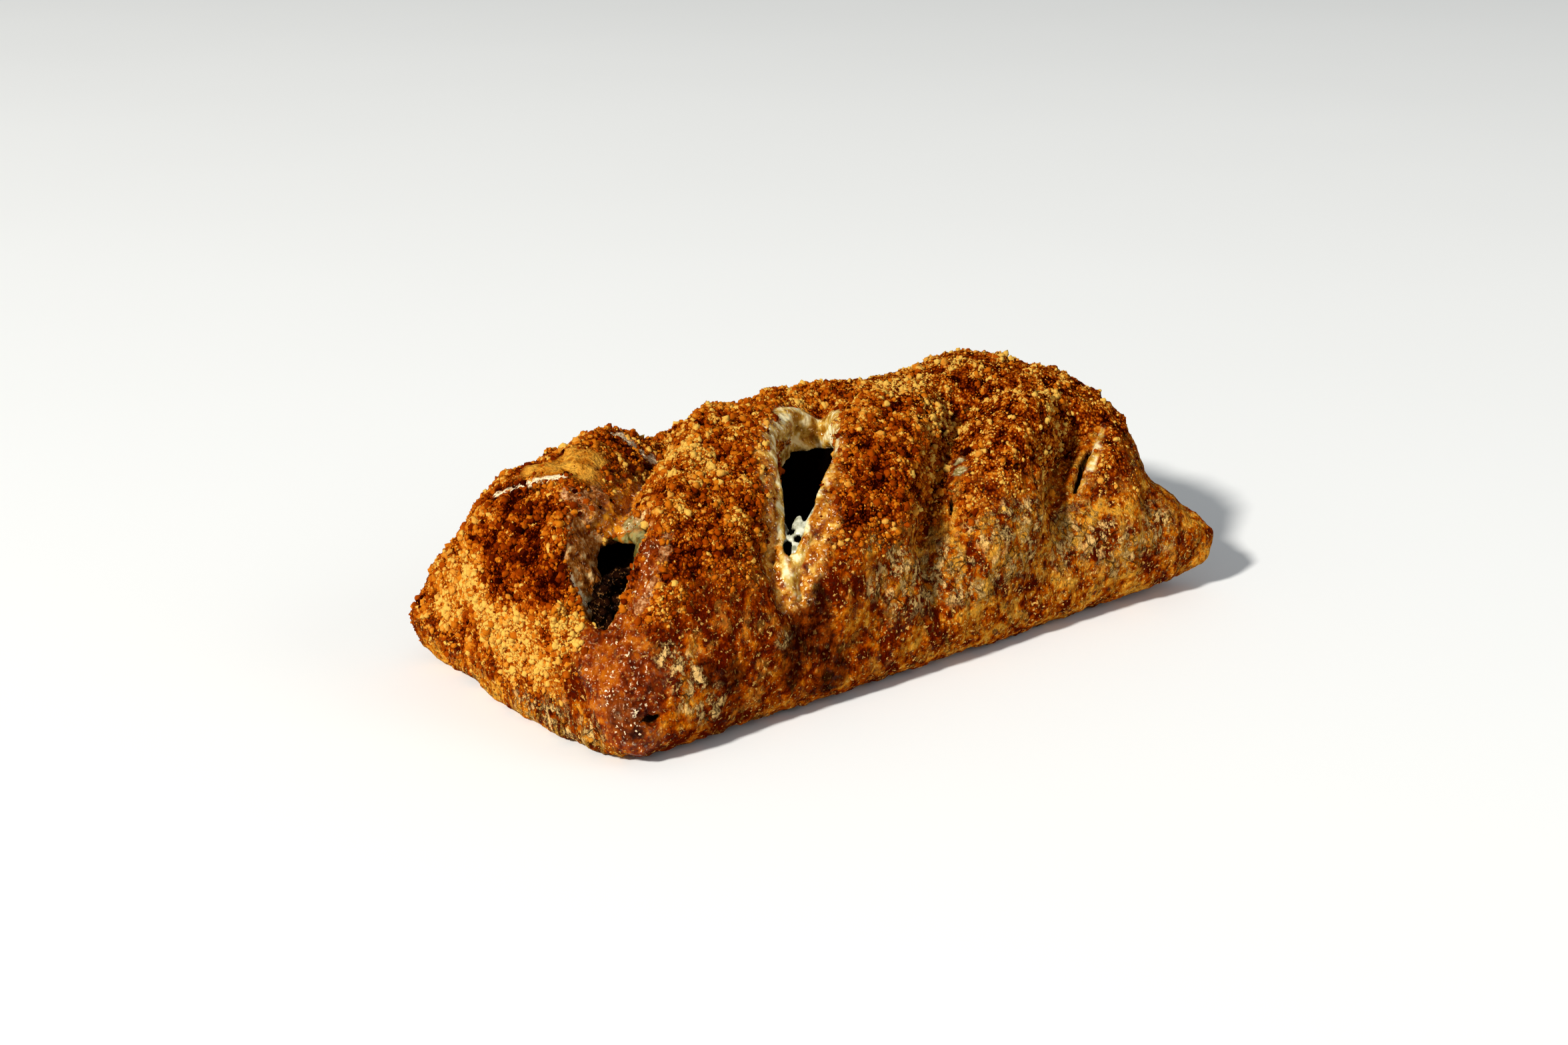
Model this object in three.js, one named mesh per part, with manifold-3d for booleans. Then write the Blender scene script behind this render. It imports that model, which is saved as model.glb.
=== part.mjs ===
// A baked pastry roll: a pillow of dough with pinched corners, slashed four times and strewn with crumbs.
// Two of the slashes gape and show the dark filling that runs through the roll, and cheese melted out of it.
// Millimetres, +Z up. The origin is the middle of the base, +X runs along the roll and -Y is the front.
import * as THREE from "three";
import { MeshSurfaceSampler } from "three/addons/math/MeshSurfaceSampler.js";
import { mergeVertices } from "three/addons/utils/BufferGeometryUtils.js";
import Module from "manifold-3d";

const wasm = await Module();
wasm.setup();

// The pillow of dough.
const LENGTH = 180;
const WIDTH = 91;
const HEIGHT = 58;
const WAIST = 18; // height at which the sides stand out furthest
const SINK = 1.2; // how far the base is moulded below the level cut that makes it flat
const SIDE_SWELL = 0.04; // how much the long sides belly out at mid length
const LEFT_SWELL = 0.085; // how much each end bellies out at mid width
const RIGHT_SWELL = 0.03;

// Exponents of the rounded box: 2 is an ellipse, larger is squarer.
const SECTION_TOP = 2.7;
const SECTION_BASE = 4.6;
const LEFT_END_TOP = 4.4;
const RIGHT_END_TOP = 5.2;
const END_BASE = 14;
const END_TURN = [0.5, -0.4]; // heights on the cube between which the ends turn from the top's to the base's

// The dough around the filling.
const WALL = 7.5;
const CLEARANCE = 0.6; // air between the dough and what is inside it

// Pinched corners of the base: the side of each axis that they are on, and how far they stand out.
// top gives the heights between which an ear dies out, and lift is how far its tip rises off the ground.
const EARS = [
  { x: -1, y: -1, reach: 5, top: [12, 36], lift: 0 },
  { x: -1, y: 1, reach: 11, top: [26, 58], lift: 0 },
  { x: 1, y: -1, reach: 15, top: [12, 38], lift: 4 },
  { x: 1, y: 1, reach: 10, top: [14, 40], lift: 2 },
];
const EAR_ALONG = 0.8; // share of an ear's reach that goes along the roll
const EAR_ACROSS = 0.5;
const EAR_ROOT = { along: [0.62, 0.98], across: [0.5, 1] }; // shares of half the length and width

// Slashes run at 45 degrees. across is how far a cut lies from the origin, start and end are places along it.
// gape is the widest opening, peak the share of the cut where that is, and cut its depth below the skin.
// sag, spread and reach are of the valley that the dough sinks into, which can run on past the cut.
const SLASHES = [
  { across: -42, start: -80.5, end: -61, gape: 17, peak: 0.6, cut: 17, sag: 6, spread: 8, reach: 62 },
  { across: -2, start: -60, end: 7, gape: 14, peak: 0.62, cut: 17, sag: 3.5, spread: 9, reach: 6 },
  { across: 34, start: -33, end: -5, gape: 2.6, peak: 0.5, cut: 5, sag: 5, spread: 7, reach: 26 },
  { across: 67, start: 3, end: 30, gape: 3.2, peak: 0.45, cut: 5.5, sag: 6.5, spread: 6.5, reach: -6 },
];
const [LEFT_SLASH, MIDDLE_SLASH] = SLASHES;
const SLASH_STEPS = 12; // straight steps along each side of an opening
const SLASH_TIP = 0.2; // half the width at an opening's tips
const SLASH_BLUNT = 0.6; // below 1 the tips are rounder than a sine's
const SLASH_FADE = 12; // distance in which a valley dies out
const LIP_RISE = 2; // the dough's edge curls up beside a gaping slash
const LIP_SPREAD = 3.2;
const RELIEF_FOOT = [14, 38]; // heights between which valleys, lips and folds come in

// Rises of the top: the tall back of the right half, the right and left shoulders, and the ridge between the
// two gaping slashes.
const HUMPS = [
  { x: 68, y: 12, rise: 3, along: 15, across: 30 },
  { x: 88, y: -16, rise: 2, along: 14, across: 20 },
  { x: -72, y: 12, rise: 2.5, along: 15, across: 30 },
  { x: -30, y: 14, rise: 2.5, along: 15, across: 26 },
];

// The flap of dough folded over the left end: its edge crosses the top, a crease runs down the end beside it.
const FLAP = { edge: -78, wander: 2, pitch: 7, back: 30, front: -4, rise: 2, fade: 8 };
const CREASE = { across: 31, depth: 3.5, spread: 4.5, along: [-70, -84] };

// A small tear in the front left corner, as the radii of the bite it takes out of the dough.
const TEAR = { place: [-91, -48, 13], radii: [6, 4, 2], turn: -0.67 };

// Slow unevenness of dough folded by hand: products of two waves, with their height in millimetres and their
// turns per millimetre along x, y and z.
const WAVES = [
  { height: 0.9, first: [0.11, 0.07, 0], second: [0, 0.13, -0.09], shift: 1.3 },
  { height: 0.7, first: [0.21, 0, -0.17], second: [0.12, 0.19, 0], shift: 0.6 },
];
const WAVE_FOOT = [0, 20]; // heights between which they come in

// Pits in the filling under the gaping slashes, and the heap that stands in the left one.
const PITS = [
  { x: -77, y: -18, rise: -15, along: 9, across: 9 },
  { x: -22, y: -19, rise: -17, along: 15, across: 15 },
];
const HEAP = { place: [-81, -26, 28], radii: [9, 9, 9.5], lump: 0.7, pitch: 2.2, detail: 3 };

// Cheese in the left slash: a strip down its right side that turns across the top of the hole.
const CHEESE_GAP = 0.4; // air between the cheese and the filling
const STRIP = { half: 2.6, sides: 8, steps: 12, drop: 6 };
const STRIP_ROUTE = [
  { along: -80, off: 4.4 },
  { along: -75, off: 6 },
  { along: -69, off: 6 },
  { along: -65, off: 2.5 },
  { along: -64.5, off: -2.5 },
];

// Cheese in the middle slash: a thin web across its lower end, with holes.
const WEB = { start: -56, end: -47, thickness: 2.2, drop: 5, slope: 0.55 };
const WEB_HOLES = [
  { along: -52.5, off: 0.4, radius: 0.6 },
  { along: -50, off: -0.6, radius: 0.7 },
];
const WEB_HOLE_SIDES = 8;

// Crumbs of the topping large enough to stand out of the crust.
const CRUMBS = { count: 84, radius: [1.8, 3.8], spacing: 8, room: 1, sunk: 0.3, squash: 0.8, seed: 20 };
// Lowest height of the topping on the long sides and on the left end, the places along the roll between which
// it goes from one to the other, and how it rises again towards the nose.
const CRUMB_EDGE = { side: 43, end: 6, along: [-72, -86], nose: -13, rise: 0.9 };

// How finely each solid is moulded: divisions along, across and up.
const CRUST_GRID = [44, 22, 12];
const FILLING_GRID = [18, 10, 6]; // also the hollow's, so that their faces run side by side

const DIAGONAL = Math.SQRT1_2;

const clamp01 = (t) => Math.min(1, Math.max(0, t));
const bell = (t) => Math.exp(-t * t);

function smooth(t) {
  const s = clamp01(t);
  return s * s * (3 - 2 * s);
}

const rampUp = (t, [from, to]) => smooth((t - from) / (to - from));

// A point of the cube's surface, carried along its radius to a rounded box of the same reach.
function rounded(p) {
  const low = rampUp(p.z, END_TURN);
  const top = p.x < 0 ? LEFT_END_TOP : RIGHT_END_TOP;
  const end = top * (END_BASE / top) ** low;
  const section = p.z > 0 ? SECTION_TOP : SECTION_BASE;
  const ring = (Math.abs(p.y) ** section + Math.abs(p.z) ** section) ** (1 / section);
  const radius = (ring ** end + Math.abs(p.x) ** end) ** (-1 / end);
  return p.clone().multiplyScalar(radius);
}

// The plain pillow at a point of the rounded box, and the way out of the dough there.
function pillow(q) {
  const sides = 1 + SIDE_SWELL * (1 - q.x ** 2);
  const ends = 1 + (q.x < 0 ? LEFT_SWELL : RIGHT_SWELL) * (1 - q.y ** 2) * Math.abs(q.x);
  const z = WAIST + q.z * (q.z > 0 ? HEIGHT - WAIST : WAIST + SINK);
  return new THREE.Vector3((q.x * LENGTH * ends) / 2, (q.y * WIDTH * sides) / 2, z);
}

const outward = (q) =>
  new THREE.Vector3(q.x ** 3 / LENGTH, q.y / WIDTH, q.z / (2 * (HEIGHT - WAIST))).normalize();

// Places across and along the slashes, and back to the plan.
const slashFrame = (x, y) => ({ across: (x - y) * DIAGONAL, along: (x + y) * DIAGONAL });
const planPoint = (across, along) =>
  new THREE.Vector2((along + across) * DIAGONAL, (along - across) * DIAGONAL);

// Half the opening of a slash at a place along it.
function halfGape(slash, along) {
  const share = clamp01((along - slash.start) / (slash.end - slash.start));
  const skew = Math.log(0.5) / Math.log(slash.peak);
  return (slash.gape / 2) * Math.sin(Math.PI * share ** skew) ** SLASH_BLUNT;
}

// How far the dough sinks into a slash's valley.
function valley(slash, { across, along }) {
  const start = smooth((along - slash.start + SLASH_FADE) / SLASH_FADE);
  const end = smooth((slash.end + slash.reach + SLASH_FADE - along) / SLASH_FADE);
  return slash.sag * bell((across - slash.across) / slash.spread) * start * end;
}

const valleys = (x, y) => SLASHES.reduce((sum, slash) => sum + valley(slash, slashFrame(x, y)), 0);

// How far the edges of a gaping slash curl up.
function lip(slash, { across, along }) {
  const edge = Math.abs(across - slash.across) - halfGape(slash, along) - LIP_SPREAD / 2;
  const start = smooth((along - slash.start + LIP_SPREAD) / SLASH_FADE);
  const end = smooth((slash.end + LIP_SPREAD - along) / SLASH_FADE);
  return LIP_RISE * bell(edge / LIP_SPREAD) * start * end;
}

const lips = (x, y) => lip(LEFT_SLASH, slashFrame(x, y)) + lip(MIDDLE_SLASH, slashFrame(x, y));

const rises = (list, x, y) =>
  list.reduce((sum, h) => sum + h.rise * bell((x - h.x) / h.along) * bell((y - h.y) / h.across), 0);

// The step at the folded flap's edge, less the crease beside it.
function fold(x, y) {
  const edge = FLAP.edge + FLAP.wander * Math.sin(y / FLAP.pitch);
  const width = smooth((FLAP.back - y) / FLAP.fade) * smooth((y - FLAP.front) / FLAP.fade);
  const step = FLAP.rise * smooth((edge - x) / CREASE.spread + 0.5) * width;
  const crease = CREASE.depth * bell((y - CREASE.across) / CREASE.spread);
  return step - crease * rampUp(x, CREASE.along);
}

function unevenness(s) {
  const phase = ([x, y, z]) => x * s.x + y * s.y + z * s.z;
  return WAVES.reduce((sum, { height, first, second, shift }) =>
    sum + height * Math.sin(phase(first) + shift) * Math.sin(phase(second)), 0);
}

// The crust's skin at a point of the cube: the pillow with its ears, folds, valleys, lips and humps.
function crustPoint(p) {
  const q = rounded(p);
  const s = pillow(q);
  const ear = EARS.find((e) => e.x * q.x >= 0 && e.y * q.y >= 0);
  const corner = rampUp(Math.abs(q.x), EAR_ROOT.along) * rampUp(Math.abs(q.y), EAR_ROOT.across);
  const pinch = corner * (1 - rampUp(s.z, ear.top));
  const tip = new THREE.Vector3(ear.x * ear.reach * EAR_ALONG, ear.y * ear.reach * EAR_ACROSS, ear.lift);
  s.addScaledVector(tip, pinch);
  const sculpted = lips(s.x, s.y) - valleys(s.x, s.y) + fold(s.x, s.y);
  const relief = sculpted * rampUp(s.z, RELIEF_FOOT) + unevenness(s) * rampUp(s.z, WAVE_FOOT);
  const hump = rises(HUMPS, s.x, s.y) * clamp01(q.z);
  return s.addScaledVector(outward(q), relief).add(new THREE.Vector3(0, 0, hump));
}

// The hollow in the dough at a point of the cube, drawn in by a further margin for what lies inside it.
function hollowPoint(p, margin = 0) {
  const q = rounded(p);
  const s = pillow(q);
  const sag = valleys(s.x, s.y) * rampUp(s.z, RELIEF_FOOT);
  return s.addScaledVector(outward(q), -(WALL + margin + sag));
}

// The filling takes up the hollow less a margin, but for the pits.
function fillingPoint(p, margin) {
  const s = hollowPoint(p, margin);
  return s.setZ(s.z + rises(PITS, s.x, s.y) * rampUp(s.z, [WAIST, 2 * WAIST]));
}

// A box whose every vertex is moved by a moulding rule.
function moulded(grid, rule) {
  const box = new THREE.BoxGeometry(2, 2, 2, ...grid);
  box.deleteAttribute("normal");
  box.deleteAttribute("uv");
  return moved(mergeVertices(box), rule);
}

function moved(geometry, rule) {
  const position = geometry.getAttribute("position");
  const corner = new THREE.Vector3();
  for (let i = 0; i < position.count; i++) {
    position.setXYZ(i, ...rule(corner.fromBufferAttribute(position, i).clone()));
  }
  return geometry;
}

// A closed geometry as a solid that can be joined and cut, and back again.
function solidOf(geometry) {
  const bare = geometry.clone();
  bare.deleteAttribute("normal");
  bare.deleteAttribute("uv");
  const merged = mergeVertices(bare);
  const vertProperties = new Float32Array(merged.getAttribute("position").array);
  const triVerts = new Uint32Array(merged.index.array);
  return new wasm.Manifold(new wasm.Mesh({ numProp: 3, vertProperties, triVerts }));
}

function geometryOf(solid) {
  const { vertProperties, triVerts } = solid.getMesh();
  const geometry = new THREE.BufferGeometry();
  geometry.setAttribute("position", new THREE.BufferAttribute(vertProperties, 3));
  geometry.setIndex(new THREE.BufferAttribute(triVerts, 1));
  geometry.computeVertexNormals();
  return geometry;
}

// An upright prism over a slash's opening, drawn in by a margin.
function openingPrism(slash, margin = 0) {
  const outline = [];
  for (const side of [-1, 1]) {
    for (let i = 0; i <= SLASH_STEPS; i++) {
      const share = side < 0 ? i / SLASH_STEPS : 1 - i / SLASH_STEPS;
      const along = slash.start + share * (slash.end - slash.start);
      const half = Math.max(SLASH_TIP, halfGape(slash, along) - margin);
      outline.push(planPoint(slash.across + side * half, along));
    }
  }
  const prism = new THREE.ExtrudeGeometry(new THREE.Shape(outline), { depth: HEIGHT, bevelEnabled: false });
  const floored = moved(prism, (p) => p.setZ(p.z + skinHeight(p.x, p.y) - slash.cut));
  return solidOf(floored);
}

// A ball with the given radii and a lumpy skin.
function lumpyBall({ place, radii, lump = 0, pitch = 1, detail = 2, turn = 0 }) {
  const ball = new THREE.IcosahedronGeometry(1, detail);
  ball.deleteAttribute("normal");
  ball.deleteAttribute("uv");
  const size = new THREE.Vector3(...radii);
  const skin = moved(mergeVertices(ball), (p) => {
    const s = p.multiply(size);
    const wave = Math.sin(s.x / pitch) * Math.sin(s.y / pitch + 1) * Math.sin(s.z / pitch + 2);
    return s.setLength(s.length() + lump * wave);
  });
  return solidOf(skin.rotateZ(turn).translate(...place));
}

// The height of the crust's skin over a place in plan, found by casting down on a mould of it.
const crustSkin = moulded(CRUST_GRID, crustPoint);
crustSkin.computeVertexNormals();
const crustMould = new THREE.Mesh(crustSkin, new THREE.MeshStandardMaterial());
const caster = new THREE.Raycaster();
function skinHeight(x, y) {
  caster.set(new THREE.Vector3(x, y, 2 * HEIGHT), new THREE.Vector3(0, 0, -1));
  return caster.intersectObject(crustMould)[0]?.point.z ?? 0;
}

function crumbEdge(x, y) {
  const end = CRUMB_EDGE.end + Math.max(0, CRUMB_EDGE.nose - y) * CRUMB_EDGE.rise;
  return CRUMB_EDGE.side + (end - CRUMB_EDGE.side) * rampUp(x, CRUMB_EDGE.along);
}

const inOpening = (x, y, room) => {
  const { across, along } = slashFrame(x, y);
  return SLASHES.some((slash) =>
    along > slash.start - room && along < slash.end + room &&
    Math.abs(across - slash.across) < halfGape(slash, along) + room);
};

// A repeatable run of draws between 0 and 1.
function draws(seed) {
  let state = seed;
  return () => {
    state = (state * 16807) % 2147483647;
    return state / 2147483647;
  };
}

// Crumbs spread evenly over the topping, the largest first.
function crumbs() {
  const draw = draws(CRUMBS.seed);
  const sampler = new MeshSurfaceSampler(crustMould).setRandomGenerator(draw).build();
  const placed = [];
  const [small, large] = CRUMBS.radius;
  while (placed.length < CRUMBS.count) {
    const radius = large + (small - large) * (placed.length / CRUMBS.count);
    const place = new THREE.Vector3();
    const out = new THREE.Vector3();
    sampler.sample(place, out);
    const turn = draw() * Math.PI;
    if (place.z < crumbEdge(place.x, place.y) || inOpening(place.x, place.y, radius + CRUMBS.room)) continue;
    if (placed.some((crumb) => crumb.place.distanceTo(place) < CRUMBS.spacing)) continue;
    placed.push({ place: place.addScaledVector(out, -CRUMBS.sunk * radius), radius, turn });
  }
  return placed.map(({ place, radius, turn }) => {
    const crumb = new THREE.IcosahedronGeometry(radius).scale(1, CRUMBS.squash, CRUMBS.squash);
    return solidOf(crumb.rotateX(turn).rotateZ(2 * turn).translate(...place));
  });
}

// The dough: the skin, hollowed, cut level below, slashed, torn at the nose and strewn with crumbs.
function pastryCase() {
  const ground = new THREE.BoxGeometry(2 * LENGTH, 2 * WIDTH, HEIGHT).translate(0, 0, -HEIGHT / 2);
  let solid = solidOf(crustSkin).subtract(solidOf(ground));
  for (const crumb of crumbs()) solid = solid.add(crumb);
  solid = solid.subtract(solidOf(moulded(FILLING_GRID, (p) => hollowPoint(p))));
  for (const slash of SLASHES) solid = solid.subtract(openingPrism(slash));
  return solid.subtract(lumpyBall(TEAR));
}

// The filling that runs through the roll, with its heap in the left slash. It is grown to cut what lies on it.
function filling(grown = 0) {
  const margin = CLEARANCE - grown;
  const heap = lumpyBall({ ...HEAP, radii: HEAP.radii.map((radius) => radius + grown) });
  const body = solidOf(moulded(FILLING_GRID, (p) => fillingPoint(p, margin)));
  return body.add(heap.intersect(openingPrism(LEFT_SLASH, margin)));
}

// A round strip of cheese along the left slash, trimmed to its opening.
function cheeseStrip() {
  const points = STRIP_ROUTE.map(({ along, off }) => {
    const { x, y } = planPoint(LEFT_SLASH.across + off, along);
    return new THREE.Vector3(x, y, skinHeight(x, y) - STRIP.drop);
  });
  const section = new THREE.Shape().absarc(0, 0, STRIP.half, 0, 2 * Math.PI);
  const strip = new THREE.ExtrudeGeometry(section, {
    steps: STRIP.steps,
    curveSegments: STRIP.sides,
    extrudePath: new THREE.CatmullRomCurve3(points),
  });
  return solidOf(strip).intersect(openingPrism(LEFT_SLASH, CLEARANCE)).subtract(filling(CHEESE_GAP));
}

// A sloping web of cheese across the lower end of the middle slash, trimmed to its opening and pierced.
function cheeseWeb() {
  const outline = new THREE.Shape();
  const half = MIDDLE_SLASH.gape / 2;
  outline.moveTo(WEB.start, -half).lineTo(WEB.end, -half).lineTo(WEB.end, half).lineTo(WEB.start, half);
  for (const { along, off, radius } of WEB_HOLES) {
    outline.holes.push(new THREE.Path().absarc(along, off, radius, 0, 2 * Math.PI, true));
  }
  const sheet = new THREE.ExtrudeGeometry(outline, {
    depth: WEB.thickness,
    curveSegments: WEB_HOLE_SIDES,
    bevelEnabled: false,
  });
  const foot = planPoint(MIDDLE_SLASH.across, WEB.start);
  const level = skinHeight(foot.x, foot.y) - WEB.drop;
  const laid = moved(sheet, (p) => {
    const { x, y } = planPoint(MIDDLE_SLASH.across - p.y, p.x);
    return new THREE.Vector3(x, y, level + p.z + (p.x - WEB.start) * WEB.slope);
  });
  return solidOf(laid).intersect(openingPrism(MIDDLE_SLASH, CLEARANCE));
}

function piece(name, solid, color, roughness) {
  const mesh = new THREE.Mesh(
    geometryOf(solid),
    new THREE.MeshStandardMaterial({ color, roughness, metalness: 0 }),
  );
  mesh.name = name;
  return mesh;
}

const roll = new THREE.Group();
roll.name = "pastry_roll";
roll.add(
  piece("pastry_case", pastryCase(), "#a8662a", 0.6),
  piece("filling", filling(), "#3b2015", 0.45),
  piece("cheese_strip", cheeseStrip(), "#a89a5c", 0.3),
  piece("cheese_web", cheeseWeb(), "#d3d0a8", 0.3),
);

// The middle of the base comes to the origin.
const middle = new THREE.Box3().setFromObject(roll).getCenter(new THREE.Vector3());
roll.position.set(-middle.x, -middle.y, 0);

export default roll;
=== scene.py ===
# The looks of a baked pastry roll: a blistered crust with pale lips at its slashes, a topping of toasted
# crumbs, minced filling and melted cheese. Lengths are millimetres until a piece is finished, then metres.
import math
from collections import namedtuple

import bmesh
import bpy
import numpy as np
from mathutils import Matrix, Vector, noise
from mathutils.bvhtree import BVHTree
from mathutils.kdtree import KDTree


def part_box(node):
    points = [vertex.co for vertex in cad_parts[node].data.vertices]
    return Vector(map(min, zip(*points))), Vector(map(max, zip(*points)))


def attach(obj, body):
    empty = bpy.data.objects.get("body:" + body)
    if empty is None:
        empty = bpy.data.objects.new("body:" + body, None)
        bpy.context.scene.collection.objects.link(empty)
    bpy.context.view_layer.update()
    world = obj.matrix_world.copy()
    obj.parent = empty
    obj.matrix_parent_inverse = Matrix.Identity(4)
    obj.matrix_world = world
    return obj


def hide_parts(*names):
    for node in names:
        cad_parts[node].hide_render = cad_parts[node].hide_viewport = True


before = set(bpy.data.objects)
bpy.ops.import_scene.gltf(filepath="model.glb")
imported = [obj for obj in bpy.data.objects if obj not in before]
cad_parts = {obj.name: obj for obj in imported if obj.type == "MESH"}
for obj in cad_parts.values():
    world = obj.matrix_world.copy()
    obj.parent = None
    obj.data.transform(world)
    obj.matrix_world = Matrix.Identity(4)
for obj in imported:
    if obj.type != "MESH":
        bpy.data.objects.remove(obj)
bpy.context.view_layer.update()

MM = 0.001
UP = Vector((0, 0, 1))

# The pillow of dough.
LENGTH, WIDTH, HEIGHT = 180, 91, 58
WAIST = 18  # height at which the sides stand out furthest
SINK = 1.2  # how far the base is moulded below the level cut that makes it flat
SIDE_SWELL, LEFT_SWELL, RIGHT_SWELL = 0.04, 0.085, 0.03
SECTION_TOP, SECTION_BASE = 2.7, 4.6  # exponents of the rounded box: larger is squarer
LEFT_END_TOP, RIGHT_END_TOP, END_BASE = 4.4, 5.2, 14
END_TURN = (0.5, -0.4)
WALL = 7.5  # thickness of the dough round the filling
CLEARANCE = 0.6  # air between the dough and what is inside it

# Pinched corners of the base: side of each axis, how far they stand out, heights they die out between, lift.
Ear = namedtuple("Ear", "x y reach top lift")
EARS = [Ear(-1, -1, 5, (12, 36), 0), Ear(-1, 1, 11, (26, 58), 0),
        Ear(1, -1, 15, (12, 38), 4), Ear(1, 1, 10, (14, 40), 2)]
EAR_ALONG, EAR_ACROSS = 0.8, 0.5
EAR_ROOT_ALONG, EAR_ROOT_ACROSS = (0.62, 0.98), (0.5, 1)

# Slashes at 45 degrees: place across, start and end along, opening, and the valley they lie in.
Slash = namedtuple("Slash", "across start end gape peak cut sag spread reach lean pivot", defaults=(0, 0))
LEFT_SLASH = Slash(-42, -80.5, -61, 17, 0.6, 17, 6, 8, 62)
MIDDLE_SLASH = Slash(-2, -60, 7, 14, 0.62, 17, 3.5, 9, 6)
THIRD_SLASH = Slash(34, -33, -5, 2.6, 0.5, 5, 5, 7, 26, 0.09, -19)
FOURTH_SLASH = Slash(67, 3, 30, 3.2, 0.45, 5.5, 6.5, 6.5, -6, 0.3, 16.5)
SLASHES = [LEFT_SLASH, MIDDLE_SLASH, THIRD_SLASH, FOURTH_SLASH]
CRACKS = [THIRD_SLASH._replace(start=-25, end=-9, gape=2, cut=4),
          FOURTH_SLASH._replace(start=10, end=31, gape=2.6, cut=4)]
GAPING = [LEFT_SLASH, MIDDLE_SLASH]
SLASH_BLUNT, SLASH_FADE, SLASH_TIP = 0.6, 12, 0.2
LIP_RISE, LIP_SPREAD = 2, 3.2
RELIEF_FOOT, WAVE_FOOT = (14, 38), (0, 20)

# The sharp crease in each valley, and the swelling beside it: its share, place and spread in crease widths.
CREASE_SINKS, CREASE_WIDTH, CREASE_FOOT = (5.5, 5.5, 6.5, 6.5), 4.2, (8, 30)
SWELL_SHARE, SWELL_AWAY, SWELL_SPREAD = 0.35, 3, 1.2

# Rises, the folded flap and crease of the left end, waves of the dough and the small tear in a corner.
Hump = namedtuple("Hump", "x y rise along across")
HUMPS = [Hump(68, 12, 3, 15, 30), Hump(88, -16, 2, 14, 20),
         Hump(-72, 12, 2.5, 15, 30), Hump(-30, 14, 2.5, 15, 26)]
FLAP_EDGE, FLAP_WANDER, FLAP_PITCH, FLAP_BACK, FLAP_FRONT, FLAP_RISE, FLAP_FADE = -78, 2, 7, 30, -4, 2, 8
CREASE_ACROSS, CREASE_DEPTH, CREASE_SPREAD, CREASE_ALONG = 31, 3.5, 4.5, (-70, -84)
Wave = namedtuple("Wave", "height first second shift")
WAVES = [Wave(0.9, (0.11, 0.07, 0), (0, 0.13, -0.09), 1.3), Wave(0.7, (0.21, 0, -0.17), (0.12, 0.19, 0), 0.6)]
TEAR_PLACE, TEAR_RADII, TEAR_TURN = (-87.5, -46, 13), (5, 4, 1.7), -0.37
TEAR_RAGGED, TEAR_PITCH = 1.2, 2.5

# Rolls of dough round the gaping slashes: radius in front and at the back, and the share that is sunk.
Roll = namedtuple("Roll", "slash front back sink")
ROLLS = [Roll(LEFT_SLASH, 0.9, 0.6, 0.8), Roll(MIDDLE_SLASH, 1, 3.2, 0.55)]
ROLL_BACK = (0.62, 1)  # shares of the cut that the radius changes between
LEFT_SIDE_SWELL, EVEN_SWELL = 1.3, 0.9  # how much thicker left sides are, and the share of it that is even
SWELL_PITCH, SWELL_RANGE = 3, (-0.4, 0.3)  # how it comes and goes along the left slash

# The second fold under the back of the middle slash, from a share of the cut on.
FOLD_THICKNESS, FOLD_DROP, FOLD_SLANT, FOLD_START = 2.4, 6.4, 0.45, 0.72

# What lies inside.
PITS = [Hump(-77, -18, -15, 9, 9), Hump(-22, -19, -17, 15, 15)]
# HEAP_LIGHT_REACH is how far round the heap the mince is coloured as lit rather than as painted shade.
HEAP_PLACE, HEAP_RADII, HEAP_LIGHT_REACH = (-79.5, -26, 32), (9.5, 9.5, 9.5), 14
WEB_THICKNESS = 1

# How the cut edges stray from a clean lens: shares of the opening, and millimetres.
RAGGED, RAGGED_PITCH, WANDER, WANDER_PITCH = 0.25, 5, 1.2, 12
SIDES_APART = 9  # so that the two sides of a cut stray on their own

# The foot of a cut against its opening: its share of the width, and how far it stands to the right and back.
Undercut = namedtuple("Undercut", "narrow right back")
UNDERCUTS = {LEFT_SLASH: Undercut(0.45, 4.5, 3), MIDDLE_SLASH: Undercut(0.92, 1, 3)}
CRACK_FOOT = Undercut(0.8, 0, 0)
UNDERCUT_FADE = 0.7  # how much of the step to the right is gone at the back end
THIN_PLACE, THIN_RADII = (-73, -16, 38), (8, 8, 7)  # the dough is worn thin behind the left slash
MIDDLE_WIDER = 1.1  # how much wider the middle slash has sprung

# The left slash's blunt left side, and the shares of its length that it rounds off in.
LEFT_REACH, LEFT_FRONT, LEFT_BACK = 9.5, 0.12, 0.25

# The small hole at the front of the middle slash.
HOLE_PLACE, HOLE_RADII, HOLE_TURN = (-40.2, -35.4, 40.5), (1.4, 4, 2), -0.67

# Fineness of the meshes.
SKIN_CUTS = (150, 80, 44)
HOLLOW_CUTS = (50, 28, 16)
SOLID_FILLING_CUTS = (17, 9, 5)  # as the solid has, so that their boxes agree
CRUST_PITCH, FILLING_PITCH = 0.84, 0.95
BASE_SKIN, BASE_BEND = 0.3, math.radians(8)  # the flat base needs few faces
BALL_FINENESS = 4
RIM_STEPS, FOLD_STEPS, FINE_RIM_STEPS, TORN_STEPS = 72, 96, 160, 12
TUBE_RINGS, TUBE_SIDES, ROLL_RINGS, STRIP_SIDES = 60, 14, 140, 20
WEB_CUTS = (70, 46)


# Curves that the forms are drawn with.
def smooth(t):
    s = np.clip(t, 0, 1)
    return s * s * (3 - 2 * s)


def ramp(t, start, end):
    return smooth((t - start) / (end - start))


def bell(t):
    return np.exp(-t * t)


def unit(ways):
    return ways / np.linalg.norm(ways, axis=1)[:, None]


def away_from(place, points):
    return np.linalg.norm(points - np.array(place), axis=1)


def slash_frame(x, y):
    """Places across and along the slashes."""
    return (x - y) * math.sqrt(0.5), (x + y) * math.sqrt(0.5)


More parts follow.
